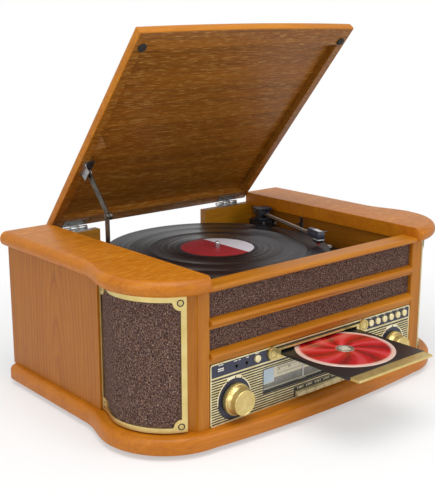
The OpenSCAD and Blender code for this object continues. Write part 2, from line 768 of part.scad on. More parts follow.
module cd_tray() color(black) placed() difference() {
    block(-tray_w / 2, tray_front, tray_bottom, tray_w / 2, tray_front + tray_l, tray_z);
    translate([0, disc_y, disc_z]) cylinder(r = cd_r + 0.7, h = 5, $fn = 96);
    translate([0, disc_y, disc_z - 0.8]) cylinder(r = 22, h = 5);
    translate([0, disc_y, tray_bottom - 1]) cylinder(r = 17, h = 9);
    block(-17, disc_y, tray_bottom - 1, 17, tray_front + tray_l - 10, tray_z + 1);
}

module tray_bezel() color(gold) placed()
    along_front(lip_w / 2) polygon([[tray_front, tray_bottom], [tray_front, tray_z - 0.3],
        [tray_front - lip_d + 1, tray_z - 0.3], [tray_front - lip_d, tray_z - 1],
        [tray_front - lip_d, tray_bottom + 0.6], [tray_front - lip_d + 1, tray_bottom]]);

module compact_disc() color("#c2303a") placed() translate([0, disc_y, disc_z]) difference() {
    union() {
        cylinder(r = cd_r, h = disc_t, $fn = 128);
        translate([0, 0, -0.2]) cylinder(r = 17.5, h = 0.3);
    }
    translate([0, 0, -1]) cylinder(r = 7.5, h = 4);
}

chassis_x = tray_w / 2 + free_gap;
chassis_front = 20;
chassis_back = tray_front + tray_travel + tray_l + 12;
chassis_low = tray_bottom - 22;
clamp_y = disc_y + tray_travel;
leg_x = chassis_x - 6;
leg_rear = chassis_back - 12;

module cd_mechanism() color("#8b8f93") placed() {
    difference() {
        block(-chassis_x - 4, chassis_front, chassis_low, chassis_x + 4, chassis_back, tray_z + 4);
        block(-chassis_x, chassis_front - 1, chassis_low + 3, chassis_x, chassis_back - 3, tray_z + 5);
    }
    // runners under the tray's edges
    both_sides() block(chassis_x - 5, chassis_front, tray_bottom - 3.3, chassis_x + 1, chassis_back - 3, tray_bottom - free_gap);
    // clamp bridge over the loaded disc
    block(-chassis_x - 2, clamp_y - 9, tray_z + 3, chassis_x + 2, clamp_y + 9, tray_z + 5);
    // deck with the disc motor and the lens sled
    block(-30, clamp_y - 40, chassis_low + 2, 30, clamp_y + 34, chassis_low + 6);
    translate([0, clamp_y, chassis_low + 5]) cylinder(r = 11, h = 6);
    translate([0, clamp_y, chassis_low + 5]) cylinder(r = 6.5, h = tray_bottom - chassis_low - 6);
    for (x = [-16, 16]) rod_y(x, clamp_y - 40, clamp_y - 11, chassis_low + 8, 1.5);
    for (x = [-16, 16], y = [clamp_y - 40, clamp_y - 13]) block(x - 3, y, chassis_low + 5, x + 3, y + 2.5, chassis_low + 10);
    block(-20, clamp_y - 34, chassis_low + 6.2, 20, clamp_y - 18, chassis_low + 11);
    translate([0, clamp_y - 26, chassis_low + 10]) cylinder(r = 4, h = 3);
    // legs down to the plinth
    for (side = [-1, 1], y = [chassis_front + 8, leg_rear])
        translate([side * leg_x, y, plinth_top]) cylinder(r = 4, h = chassis_low - plinth_top + 1);
}

// ---- Record deck ----

module deck_plate() color(black) placed() {
    difference() {
        union() {
            block(-wall_x + 0.5, deck_front, deck_z - deck_t, wall_x - 0.5, deck_back, deck_z);
            difference() {
                block(-wall_x + 0.5, deck_front, deck_z - deck_h, wall_x - 0.5, deck_back, deck_z - deck_t + 0.5);
                block(-wall_x + 3.5, deck_front + 3, deck_z - deck_h - 1, wall_x - 3.5, deck_back - 3, deck_z);
            }
            translate([0, platter_y, deck_z - 16]) cylinder(r = 9, h = 16);
            translate([0, platter_y, deck_z - 1]) difference() {
                cylinder(r = platter_r + 9, h = 2.2, $fn = 96);
                translate([0, 0, -1]) cylinder(r = platter_r + 6, h = 5, $fn = 96);
            }
        }
        translate([0, platter_y, deck_z - 20]) cylinder(r = spindle_r + running_gap, h = 30);
        translate([pulley_x, pulley_y, deck_z - 10]) cylinder(r = 8, h = 20);
        block(switch_x - 1.8, switch_y - 9, deck_z - 10, switch_x + 1.8, switch_y + 9, deck_z + 5);
    }
    arm_rest();
}

// Post with a side-opening hook that holds the parked arm
module arm_rest() arm_frame(-clip_turn) translate([0, -clip_l, 0]) {
    rest_z = arm_z - tube_r - free_gap;
    translate([4.6, 0, deck_z - 0.5]) cylinder(r = 2.6, h = rest_z - deck_z);
    translate([0, 2, 0]) rotate([90, 0, 0]) linear_extrude(4) {
        translate([-3.5, rest_z - 2]) square([9, 2]);
        translate([3.6, rest_z - 2]) square([2, 9.4]);
        translate([0.6, rest_z + 5.9]) square([5, 1.5]);
    }
}

module platter() color(steel) placed() translate([0, platter_y, 0]) rotate_extrude($fn = 96) {
    top_t = 3;
    polygon([[platter_r - 4, platter_z], [platter_r - 0.6, platter_z], [platter_r, platter_z + 0.6],
        [platter_r, platter_top - 1], [platter_r - 1, platter_top], [0, platter_top],
        [0, platter_top - top_t], [platter_r - 4, platter_top - top_t]]);
    translate([ring_r - 3, platter_z + 0.6]) square([3, platter_h - 1]);
    translate([0, deck_z + 1]) square([10, platter_top - deck_z - 2]);
    polygon(concat([[0, deck_z - 18], [spindle_r - 0.6, deck_z - 18], [spindle_r, deck_z - 17.4]],
        arc(spindle_r - 2, record_z + 5.8, 2, 0, 70, 3), [[0, record_z + 8.2]]));
}

module platter_mat() color(black) placed() translate([0, platter_y, platter_top]) rotate_extrude($fn = 96)
    difference() {
        translate([spindle_r + 0.2, 0]) square([platter_r - 1.5 - spindle_r, mat_t]);
        for (r = [56:6:platter_r - 8]) translate([r, mat_t - 0.6]) square([2, 1]);
    }

module record() color("#101013") placed() translate([0, platter_y, record_bottom]) rotate_extrude($fn = 128) {
    label_r = 50;
    groove = 0.25;
    polygon([[spindle_r + 0.1, 0], [record_r - 0.5, 0], [record_r, 0.5], [record_r, record_t - 0.5],
        [record_r - 0.5, record_t], [record_r - 4, record_t], [record_r - 5, record_t - groove],
        [label_r + 12, record_t - groove], [label_r + 11, record_t], [spindle_r + 0.1, record_t]]);
}

motor_r = 18;
motor_h = 26;
motor_top = deck_z - deck_t - 1.5;

module drive_motor() color(steel) placed() translate([pulley_x, pulley_y, 0]) difference() {
    union() {
        translate([0, 0, motor_top - motor_h]) cylinder(r = motor_r, h = motor_h);
        translate([0, 0, motor_top - 1]) cylinder(r = 6, h = 2.5);
        for (a = [0, 180]) rotate([0, 0, a + 45]) difference() {
            translate([motor_r - 2, -5, motor_top - 2]) cube([11, 10, 2]);
            translate([motor_r + 5, 0, motor_top - 3]) cylinder(r = 1.8, h = 4);
        }
        for (a = [0, 180]) rotate([0, 0, a + 45]) translate([motor_r + 5, 0, motor_top - 0.5]) difference() {
            cylinder(r = 3, h = 2);
            translate([0, 0, -1]) cylinder(r = 1.8, h = 2);
        }
    }
    translate([0, 0, motor_top - 14]) cylinder(r = 1 + running_gap, h = 20);
}

module motor_pulley() color("#b08d4a") placed() translate([pulley_x, pulley_y, 0]) rotate_extrude() {
    translate([0, motor_top - 12]) square([1, belt_z + belt_h + 1 - motor_top + 12]);
    polygon([[0.5, belt_z - 1.2], [pulley_r + 1, belt_z - 1.2], [pulley_r + 1, belt_z - 0.4],
        [pulley_r, belt_z - 0.1], [pulley_r, belt_z + belt_h + 0.1], [pulley_r + 1, belt_z + belt_h + 0.4],
        [pulley_r + 1, belt_z + belt_h + 1.2], [0.5, belt_z + belt_h + 1.2]]);
}

// Loop round two wheels whose centres are d apart, with straight runs between them
module belt_outline(r1, r2, d) {
    a = acos((r1 - r2) / d);
    polygon(concat(arc(0, 0, r1, a, 360 - a, 60), arc(d, 0, r2, -a, a, 14)));
}

module drive_belt() color("#26262a") placed() translate([0, platter_y, belt_z]) rotate([0, 0, 135])
    linear_extrude(belt_h) difference() {
        belt_outline(ring_r + free_gap + belt_t, pulley_r + free_gap + belt_t, pulley_d);
        belt_outline(ring_r + free_gap, pulley_r + free_gap, pulley_d);
    }

// ---- Tonearm ----

cue_x = pivot_x + 7;
cue_y = pivot_y - tower_l / 2 + 6;
cue_z = deck_z + 12;
cue_w = 4;
cue_pin_r = 1.2;

module tonearm_base() color(black) placed() difference() {
    translate([pivot_x, pivot_y, deck_z]) linear_extrude(tower_top - deck_z)
        rounded_square(-tower_w / 2, -tower_l / 2, tower_w / 2, tower_l / 2, 3);
    translate([pivot_x, pivot_y, deck_z + 4]) cylinder(r = 4 + running_gap, h = 40);
    // slot and bore of the cueing lever
    block(cue_x - cue_w / 2 - free_gap, cue_y - 20, cue_z - 5, cue_x + cue_w / 2 + free_gap, cue_y + 4, tower_top + 1);
    rod_x(cue_x - 5, cue_x + 5, cue_y, cue_z, cue_pin_r + running_gap);
}

arm_pin_r = 1.2;
yoke_w = 24;
yoke_l = 20;
cheek_t = 3;
yoke_top = arm_z + 8.5;

module tonearm_yoke() color("#2b2c31") placed() arm_frame(arm_turn) difference() {
    union() {
        translate([0, 0, deck_z + 6]) cylinder(r = 4, h = tower_top - deck_z - 5);
        translate([0, 0, tower_top + free_gap]) cylinder(r = 9.5, h = 2.2);
        for (side = [-1, 1]) translate([side * (5 + cheek_t / 2) - cheek_t / 2, -7, tower_top + free_gap])
            cube([cheek_t, 14, yoke_top - tower_top - 1]);
        translate([0, 0, yoke_top - 2.2]) linear_extrude(2.2)
            rounded_square(-yoke_w / 2, -yoke_l / 2, yoke_w / 2, yoke_l / 2, 2);
    }
    rod_x(-12, 12, 0, arm_z, arm_pin_r + running_gap);
}

head_w = 11;
lift_l = 6;
head_l = 33;
head_bottom = record_z + 8.3;
head_top = arm_z + 10;
stylus_gap = 0.3;

module tonearm() color("#c9ccd0") placed() arm_frame(arm_turn) {
    // pivot block with its pins
    block(-4.4, -6, arm_z - 3.6, 4.4, 6, arm_z + 3.6);
    rod_x(-8.2, 8.2, 0, arm_z, arm_pin_r);
    rod_y(0, -arm_l + head_l - 12, -5, arm_z, tube_r);
    // counterweight on its stub
    rod_y(0, 5, weight_y + 1, arm_z, 2.2);
    translate([0, weight_y, arm_z]) rotate([-90, 0, 0]) rotate_extrude() polygon([[0, 0],
        [weight_r - 0.8, 0], [weight_r, 0.8], [weight_r, 2.4], [weight_r - 0.6, 3], [weight_r - 0.6, 3.8],
        [weight_r, 4.4], [weight_r, weight_l - 0.8], [weight_r - 0.8, weight_l], [0, weight_l]]);
    // head shell, tapering to the tube
    translate([0, 0, head_bottom]) linear_extrude(head_top - head_bottom) polygon([
        [-head_w / 2, -arm_l - 8], [head_w / 2, -arm_l - 8], [head_w / 2, -arm_l + 12],
        [tube_r + 1.4, -arm_l + head_l - 8], [-tube_r - 1.4, -arm_l + head_l - 8], [-head_w / 2, -arm_l + 12]]);
    // finger lift
    translate([head_w / 2 - 0.5, -arm_l - 4, head_top - 3.2]) rotate([0, 0, -20]) cube([lift_l, 3.4, 1.2]);
    // cartridge and stylus
    block(-4, -arm_l - 6, record_z + 5, 4, -arm_l + 8, head_bottom + 0.5);
    translate([0, -arm_l, 0]) rotate([90, 0, 0]) translate([0, 0, -3]) linear_extrude(6) polygon([
        [-2.5, record_z + 5.2], [2.5, record_z + 5.2], [0.9, record_z + 1.6], [-0.9, record_z + 1.6]]);
    translate([0, -arm_l, record_z + stylus_gap]) cylinder(r1 = 0.15, r2 = 0.5, h = 1.5, $fn = 16);
}

module cue_lever() color(steel) placed() {
    rod_x(cue_x - 4.8, cue_x + 4.8, cue_y, cue_z, cue_pin_r);
    rod_x(cue_x - cue_w / 2, cue_x + cue_w / 2, cue_y, cue_z, 3.2);
    rotate([90, 0, 90]) translate([0, 0, cue_x - cue_w / 2]) linear_extrude(cue_w) polygon([
        [cue_y - 1.6, cue_z + 2.7], [cue_y - 10, cue_z + 7.4], [cue_y - 11, cue_z + 4.6], [cue_y - 2.4, cue_z - 1]]);
    rod_y(cue_x, cue_y - 13.4, cue_y - 9, cue_z + 6, 2.3);
}

switch_x = 166;
switch_y = 143;

module speed_switch() color("#d8d8d6") placed() {
    block(switch_x - 1.5, switch_y - 1.5, deck_z - 4, switch_x + 1.5, switch_y + 1.5, deck_z + 3);
    translate([0, 0, deck_z + 0.3]) linear_extrude(3.6) translate([switch_x, switch_y])
        rounded_square(-3.5, -4.5, 3.5, 4.5, 1.2);
    block(switch_x - 3.4, switch_y - 3, deck_z - deck_t - 1.6, switch_x + 3.4, switch_y + 3, deck_z - deck_t - 0.3);
}

// ---- Lid ----

lid_inner_x = lid_w / 2 - rim_w;
lid_inner_front = front_y + rim_front;
lid_inner_rear = lid_rear_y - rim_rear;
block_x = -lid_inner_x + 8;
block_y = 172;

module lid() color(wood) placed() on_open_lid() {
    top_round = 4;
    levels = concat([[0, 1.2], [1.2, 0]], [for (i = [0:4]) let (a = 22.5 * i)
        [lid_t - top_round * (1 - sin(a)), top_round * (1 - cos(a))]]);
    difference() {
        moulded([for (l = levels) raised(lid_outline(l[1]), lid_z + l[0])]);
        block(-lid_inner_x, lid_inner_front, lid_z - 1, lid_inner_x, lid_inner_rear, lid_z + recess_d);
    }
    // glued block beside the rim, with a sloping end
    intersection() {
        translate([0, 0, lid_z]) linear_extrude(recess_d + 1) polygon([[block_x - 8.5, block_y],
            [block_x, block_y - 14], [block_x + 8.5, block_y], [block_x + 8.5, block_y + 14], [block_x - 8.5, block_y + 14]]);
        rotate([90, 0, 90]) translate([0, 0, block_x - 10]) linear_extrude(20) polygon([
            [block_y - 14.5, lid_z + recess_d], [block_y, lid_z + 1], [block_y + 15, lid_z + 1],
            [block_y + 15, lid_z + recess_d + 1], [block_y - 14.5, lid_z + recess_d + 1]]);
    }
}

bumper_t = lid_z - board_z - top_rail_h - 0.1;

module lid_bumpers() color(black) placed() on_open_lid()
    both_sides() translate([lid_w / 2 - 12, top_rail_back - 8, lid_z]) mirror([0, 0, 1]) rotate_extrude()
        polygon([[0, 0], [5.5, 0], [5.5, 1.6], [4.4, bumper_t], [0, bumper_t]]);

// Hinges: the fixed leaves hold the end knuckles, the lid's leaves the middle one
module knuckle(x0, x1) difference() {
    rod_x(x0, x1, hinge_y, hinge_z, knuckle_r);
    rod_x(x0 - 1, x1 + 1, hinge_y, hinge_z, pin_r + running_gap);
}

hinge_part = hinge_l / 3;

module leaf_screws(x, y, z) for (dx = [-hinge_l / 3.2, hinge_l / 3.2]) translate([x + dx, y, z]) cylinder(r = 1.8, h = 5);

module cabinet_hinge_leaves() color(steel) placed() {
    both_sides() {
        for (dx = [-hinge_l / 2, hinge_l / 2 - hinge_part]) knuckle(hinge_x + dx, hinge_x + dx + hinge_part);
        difference() {
            block(hinge_x - hinge_l / 2, cabinet_d - rear_t + 1, rear_top(), hinge_x + hinge_l / 2, hinge_y - 0.6, rear_top() + leaf_t);
            block(hinge_x - hinge_part / 2 - free_gap, hinge_y - knuckle_r - 1, rear_top() - 1,
                hinge_x + hinge_part / 2 + free_gap, hinge_y + 5, rear_top() + leaf_t + 1);
            leaf_screws(hinge_x, cabinet_d - rear_t / 2 - 1, rear_top() - 1);
        }
        rod_x(hinge_x - hinge_l / 2, hinge_x + hinge_l / 2, hinge_y, hinge_z, pin_r);
    }
    // bracket of the lid stay on the left wall
    difference() {
        block(-wall_x, stay_foot_y - 9, stay_foot_z - 16, -wall_x + 1.5, stay_foot_y + 9, stay_foot_z + 8);
        for (dy = [-5, 5]) rod_x(-wall_x - 1, -wall_x + 3, stay_foot_y + dy, stay_foot_z - 11, 1.6);
    }
    rod_x(-wall_x + 1, stay_x + link_t + 0.6, stay_foot_y, stay_foot_z, stay_pin_r);
    rod_x(stay_x + link_t + 0.4, stay_x + link_t + 1.6, stay_foot_y, stay_foot_z, stay_pin_r + 1.5);
    rod_x(-wall_x + 1, stay_x - 0.4, stay_foot_y, stay_foot_z, stay_pin_r + 1.5);
}

module lid_hinge_leaves() color(steel) placed() on_open_lid() {
    both_sides() {
        difference() {
            union() {
                rod_x(hinge_x - hinge_part / 2 + free_gap, hinge_x + hinge_part / 2 - free_gap, hinge_y, hinge_z, knuckle_r);
                block(hinge_x - hinge_part / 2 + free_gap, hinge_y - 6, lid_z - leaf_t, hinge_x + hinge_part / 2 - free_gap, hinge_y, lid_z);
            }
            rod_x(hinge_x - hinge_l, hinge_x + hinge_l, hinge_y, hinge_z, pin_r + running_gap);
        }
        difference() {
            block(hinge_x - hinge_l / 2, hinge_y - 15, lid_z - leaf_t, hinge_x + hinge_l / 2, hinge_y - 5, lid_z);
            leaf_screws(hinge_x, hinge_y - 10, lid_z - leaf_t - 1);
        }
    }
    // bracket of the stay under the left rim, with the pin of the upper link
    ear_y = hinge_y - stay_s;
    ear_z = lid_z - stay_drop;
    ear_x = stay_x - 2.6;
    upper_x = stay_x + link_t + free_gap;
    block(ear_x, ear_y - 12, lid_z - leaf_t, ear_x + 14, ear_y + 12, lid_z);
    block(ear_x, ear_y - 8, ear_z - 5.5, ear_x + leaf_t, ear_y + 8, lid_z - 0.5);
    rod_x(ear_x + 0.5, upper_x + link_t + 1, ear_y, ear_z, stay_pin_r);
    rod_x(ear_x + 0.5, upper_x - free_gap, ear_y, ear_z, stay_pin_r + 1.2);
    rod_x(upper_x + link_t + free_gap, upper_x + link_t + 1.6, ear_y, ear_z, stay_pin_r + 1.5);
}

// A flat link in the y-z plane from p to q, bored at p
module link(p, q, x) {
    l = norm(q - p);
    translate([x, p[0], p[1]]) rotate([turn_of(p, q), 0, 0]) difference() {
        union() {
            translate([0, 0, -link_w / 2]) cube([link_t, l, link_w]);
            for (s = [0, l]) rod_x(0, link_t, s, 0, link_w / 2);
        }
        rod_x(-1, link_t + 1, 0, 0, stay_pin_r + running_gap);
    }
}

module stay_lower() color(steel) placed() {
    link(stay_foot, stay_knee, stay_x);
    // rivet head at the knee
    rod_x(stay_x - 1.6, stay_x + 0.5, stay_knee[0], stay_knee[1], stay_pin_r + 1.5);
}

module stay_upper() color(steel) placed() {
    upper_x = stay_x + link_t + free_gap;
    link(stay_head, stay_knee, upper_x);
    // cup of the knee's friction spring with the rivet's end
    rod_x(upper_x + 0.5, upper_x + link_t + 2.4, stay_knee[0], stay_knee[1], link_w / 2 + 1);
    rod_x(upper_x + 0.5, upper_x + link_t + 3.4, stay_knee[0], stay_knee[1], stay_pin_r);
}

// ---- Electronics ----

module circuit_board() color("#2f6b45") placed() {
    pcb_z = plinth_top + 9;
    // main board on its pillars
    difference() {
        block(-150, 60, pcb_z, 150, 250, pcb_z + 1.6);
        for (x = [-140, 140], y = [70, 240]) translate([x, y, pcb_z - 1]) cylinder(r = 1.7, h = 4);
        for (side = [-1, 1]) translate([side * leg_x, leg_rear, pcb_z - 1]) cylinder(r = 6, h = 4);
    }
    for (x = [-140, 140], y = [70, 240]) translate([x, y, plinth_top]) cylinder(r = 3.5, h = 9);
    // amplifier heat sink and smoothing capacitors
    for (i = [0:6]) block(84 + 8 * i, 200, pcb_z + 1.6, 86 + 8 * i, 236, pcb_z + 26);
    block(84, 214, pcb_z + 1.6, 134, 219, pcb_z + 22);
    for (x = [-120, -96]) translate([x, 220, pcb_z + 1.6]) cylinder(r = 9, h = 24);
    // mains transformer: laminated core and winding
    translate([-134, 150, pcb_z + 1.6]) {
        cube([52, 16, 42]);
        translate([6, -12, 8]) cube([40, 40, 26]);
    }
    // front board with the controls behind the panel
    front_z = plinth_top + 4;
    difference() {
        block(-168, board_y, front_z, 168, board_y + 1.6, panel_top - 4);
        block(-chassis_x - 5, board_y - 1, slot_z - 4, chassis_x + 5, board_y + 3, panel_top);
        at_knobs() rotate([-90, 0, 0]) cylinder(r = shaft_r + 1, h = 40);
    }
    at_knobs() difference() {
        translate([-9, 6, -9]) cube([18, 8, 18]);
        rotate([-90, 0, 0]) cylinder(r = shaft_r + running_gap, h = 40);
    }
    for (i = [1:6]) block(round_button_x(i) - 3, 10, button_z - 3, round_button_x(i) + 3, board_y, button_z + 3);
    block(power_x - 3, 10, button_z - 3, power_x + 3, board_y, button_z + 3);
}

plinth();
feet();
side_panels();
top_board_left();
top_board_right();
inner_walls();
rear_wall();
back_cover();
posts();
fascia_rails();
cloth_panels();
grille_frames();
fixing_screws();
speaker_baffles();
speakers();
control_panel();
panel_trim();
display_window();
dial_scale();
dial_pointer();
drawer_surround();
sockets();
volume_knob();
tuning_knob();
power_button();
round_button(1);  // round_button_1
round_button(2);  // round_button_2
round_button(3);  // round_button_3
round_button(4);  // round_button_4
round_button(5);  // round_button_5
round_button(6);  // round_button_6
piano_key(1);  // key_1
piano_key(2);  // key_2
piano_key(3);  // key_3
piano_key(4);  // key_4
piano_key(5);  // key_5
piano_key(6);  // key_6
cd_tray();
tray_bezel();
compact_disc();
cd_mechanism();
deck_plate();
platter();
platter_mat();
record();
drive_motor();
motor_pulley();
drive_belt();
tonearm_base();
tonearm_yoke();
tonearm();
cue_lever();
speed_switch();
lid();
lid_bumpers();
lid_hinge_leaves();
cabinet_hinge_leaves();
stay_lower();
stay_upper();
circuit_board();
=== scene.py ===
# A wooden stereo music centre: record deck under a stayed lid, disc drawer, radio dial, corner
# speakers. The sections follow the order in which it is put together, from the plinth up.

import math

import bmesh
import bpy
from mathutils import Matrix, Vector


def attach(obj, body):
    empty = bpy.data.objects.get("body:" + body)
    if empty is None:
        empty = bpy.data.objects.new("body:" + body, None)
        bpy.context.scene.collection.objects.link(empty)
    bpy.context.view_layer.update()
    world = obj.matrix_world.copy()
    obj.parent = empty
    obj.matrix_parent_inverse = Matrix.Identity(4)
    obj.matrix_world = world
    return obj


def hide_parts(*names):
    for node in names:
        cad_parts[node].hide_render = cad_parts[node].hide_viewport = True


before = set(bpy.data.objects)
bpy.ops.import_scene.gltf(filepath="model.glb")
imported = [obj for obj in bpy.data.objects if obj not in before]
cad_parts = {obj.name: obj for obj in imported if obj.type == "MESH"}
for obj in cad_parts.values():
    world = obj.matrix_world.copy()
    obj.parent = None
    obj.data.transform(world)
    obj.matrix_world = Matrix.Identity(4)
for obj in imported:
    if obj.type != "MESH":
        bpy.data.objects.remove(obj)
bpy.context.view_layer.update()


# ---- Plinth ----
# One thick board of solid beech under amber stain and satin lacquer. Its front bows forward and
# its corners swing out round the speakers; the upper edge is moulded to a quarter round.

mm = 0.001
panel_face = 110.25     # the control panel's face lies this far in front of the frame's origin
half_bay = 176.5        # half the clear width between the side units
corner_y = 74           # middle of the speaker corner's arc, behind the control panel's face
board_radius = 86       # outer radius of plinth and top boards at the corner
board_side = 249.5      # half width of the boards behind the corners
cabinet_depth = 330


def at(x, y, z):
    """A point given in millimetres from the middle of the control panel's foot line."""
    return Vector((x, y - panel_face, z)) * mm


def arc(cx, cy, radius, start, end, steps):
    """Points of a circle's arc, in degrees."""
    return [(cx + radius * math.cos(math.radians(start + (end - start) * i / steps)),
             cy + radius * math.sin(math.radians(start + (end - start) * i / steps)))
            for i in range(steps + 1)]


def side_outline(inset):
    """Right-hand outline of the boards, from the bay round the corner to the back."""
    swing, swell, back = 67, half_bay + board_radius - board_side, 12
    blend = [(half_bay + board_radius - inset - swell * (1 - math.cos(math.pi * i / 24)) / 2,
              corner_y + swing * i / 24) for i in range(1, 25)]
    return (arc(half_bay, corner_y, board_radius - inset, -90, 0, 40) + blend
            + arc(board_side - back, cabinet_depth - back, back - inset, 0, 90, 8))


def bowed_front(inset, half_width, steps):
    """Right-hand half of the bowed front edge, from the middle outward."""
    front, bow = corner_y - board_radius, 10
    return [(half_width * i / steps,
             front - bow * (1 - (half_width * i / steps / half_bay) ** 2) + inset)
            for i in range(steps)]


def both_halves(right):
    """A closed outline from its right-hand half."""
    return right + [(-x, y) for x, y in reversed(right[1:])]


def loft(rings):
    """A skin over closed rings with as many points each, closed by a face at either end."""
    n, last = len(rings[0]), len(rings) - 1
    faces = [(k * n + i, k * n + (i + 1) % n, (k + 1) * n + (i + 1) % n, (k + 1) * n + i)
             for k in range(last) for i in range(n)]
    faces += [tuple(reversed(range(n))), tuple(range(last * n, last * n + n))]
    return [p for ring in rings for p in ring], faces


def linear(code, alpha=1.0):
    """An sRGB hex colour as linear red, green, blue and alpha."""
    parts = [int(code[i:i + 2], 16) / 255 for i in (1, 3, 5)]
    return tuple(c / 12.92 if c <= 0.04045 else ((c + 0.055) / 1.055) ** 2.4
                 for c in parts) + (alpha,)


def add(owner, kind, sockets=None, stops=None, **settings):
    """Adds a shader node to a material or world, with its settings, the values or links of its
    sockets, and its ramp's stops."""
    node = owner.node_tree.nodes.new(kind)
    for name, value in settings.items():
        setattr(node, name, value)
    for name, value in (sockets or {}).items():
        if isinstance(value, bpy.types.NodeSocket):
            owner.node_tree.links.new(value, node.inputs[name])
        else:
            node.inputs[name].default_value = value
    if stops:
        while len(node.color_ramp.elements) < len(stops):
            node.color_ramp.elements.new(0.5)
        for element, (place, colour) in zip(node.color_ramp.elements, stops):
            element.position = place
            element.color = linear(colour)
    return node


def surface(name, **sockets):
    """A material, and its surface shader with these sockets set or linked."""
    material = bpy.data.materials.new(name)
    material.use_nodes = True
    shader = material.node_tree.nodes["Principled BSDF"]
    for socket, value in sockets.items():
        shader.inputs[socket.replace("_", " ")].default_value = value
    return material, shader


def join(material, output, shader, socket):
    """Links an output to a socket of the shader."""
    material.node_tree.links.new(output, shader.inputs[socket])


def stained_wood(name, grain, colours, pores, turn=0.0, streak=None, arches=None):
    """Wood under amber stain and satin lacquer. grain is the length of its figure along x, y and z
    in mm, colours run from the dark to the light growth, and pores is how strongly they show.
    turn tips the grain about the x axis, streak is the colour and mesh of short pale rays, and
    arches is the middle of a flat-sawn figure."""
    material, shader = surface(name, Roughness=0.46, Specular_IOR_Level=0.3, Coat_Weight=0.12,
                               Coat_Roughness=0.2)
    place = add(material, "ShaderNodeTexCoord")
    along = add(material, "ShaderNodeMapping", {
        "Vector": place.outputs["Object"], "Rotation": (turn, 0, 0),
        "Scale": [g * mm for g in grain]}, vector_type="TEXTURE")
    growth = add(material, "ShaderNodeTexNoise", {
        "Vector": along.outputs[0], "Scale": 1.0, "Detail": 4.0, "Roughness": 0.6,
        "Distortion": 0.4})
    # the broad flow of the tree's growth, about eight times as wide as the fine figure
    flow = add(material, "ShaderNodeTexNoise", {
        "Vector": along.outputs[0], "Scale": 0.12, "Detail": 2.0, "Distortion": 1.5})
    both = add(material, "ShaderNodeMix", {
        0: 0.45, 2: growth.outputs[0], 3: flow.outputs[0]}, data_type="FLOAT")
    tone = add(material, "ShaderNodeValToRGB", {"Fac": both.outputs[0]}, stops=[
        (0.30 + 0.4 * i / (len(colours) - 1), c) for i, c in enumerate(colours)])
    colour = tone.outputs[0]
    if arches:
        # annual rings 7 mm apart, cut flat, so that they run into long pointed arches
        sawn = add(material, "ShaderNodeMapping", {
            "Vector": place.outputs["Object"], "Location": arches, "Scale": (1, 1, 7)},
            vector_type="TEXTURE")
        ring = add(material, "ShaderNodeTexWave", {
            "Vector": sawn.outputs[0], "Scale": 0.314 / (7 * mm), "Distortion": 2.2, "Detail": 2.0,
            "Detail Scale": 0.6}, wave_type="RINGS", rings_direction="X", wave_profile="SAW")
        late = add(material, "ShaderNodeValToRGB", {"Fac": ring.outputs["Fac"]}, stops=[
            (0.0, "#d9b98a"), (0.3, "#ffffff"), (1.0, "#f6ead6")])
        colour = add(material, "ShaderNodeMix", {0: 0.75, 6: colour, 7: late.outputs[0]},
                     data_type="RGBA", blend_type="MULTIPLY").outputs[2]
    if streak:
        pale, mesh = streak
        ray_place = add(material, "ShaderNodeMapping", {"Vector": along.outputs[0], "Scale": mesh})
        ray = add(material, "ShaderNodeTexNoise", {
            "Vector": ray_place.outputs[0], "Scale": 1.0, "Detail": 3.0, "Roughness": 0.6})
        share = add(material, "ShaderNodeMapRange", {0: ray.outputs[0], 1: 0.52, 2: 0.66, 4: 0.75})
        colour = add(material, "ShaderNodeMix", {0: share.outputs[0], 6: colour, 7: linear(pale)},
                     data_type="RGBA").outputs[2]
    # open pores, drawn at twice their real width so that they show
    fine = add(material, "ShaderNodeMapping", {
        "Vector": along.outputs[0], "Scale": (2.6, 2.6, 2.6)})
    pore = add(material, "ShaderNodeTexNoise", {
        "Vector": fine.outputs[0], "Scale": 1.0, "Detail": 2.0, "Roughness": 0.5})
    dark = add(material, "ShaderNodeValToRGB", {"Fac": pore.outputs[0]}, stops=[
        (0.36, "#6a3a08"), (0.48, "#ffffff")])
    coloured = add(material, "ShaderNodeMix", {0: pores, 6: colour, 7: dark.outputs[0]},
                   data_type="RGBA", blend_type="MULTIPLY")
    join(material, coloured.outputs[2], shader, "Base Color")
    relief = add(material, "ShaderNodeBump", {
        "Height": pore.outputs[0], "Strength": 0.15 * pores, "Distance": 0.3 * mm})
    join(material, relief.outputs[0], shader, "Normal")
    return material


def piece(name, shapes, finishes, body, stands_for=(), bevel=0.0, sharp=32):
    """A mesh of shapes, each (points, faces) or (points, faces, finish numbers), that rides on a
    body."""
    mesh = bpy.data.meshes.new(name)
    points, faces, numbers = [], [], []
    for shape in shapes:
        faces += [[i + len(points) for i in face] for face in shape[1]]
        numbers += shape[2] if len(shape) > 2 else [0] * len(shape[1])
        points += list(shape[0])
    mesh.from_pydata(points, [], faces)
    mesh.polygons.foreach_set("material_index", numbers)
    form = bmesh.new()
    form.from_mesh(mesh)
    bmesh.ops.remove_doubles(form, verts=form.verts, dist=1e-6)
    bmesh.ops.recalc_face_normals(form, faces=form.faces)
    form.to_mesh(mesh)
    form.free()
    mesh.shade_smooth()
    mesh.set_sharp_from_angle(angle=math.radians(sharp))
    for finish in finishes:
        mesh.materials.append(finish)
    made = bpy.data.objects.new(name, mesh)
    bpy.context.scene.collection.objects.link(made)
    if bevel:
        edge = made.modifiers.new("worn edges", "BEVEL")
        edge.width, edge.segments, edge.harden_normals = bevel * mm, 3, True
        edge.limit_method, edge.angle_limit = "ANGLE", math.radians(35)
    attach(made, body)
    if stands_for:
        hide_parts(*stands_for)
    return made


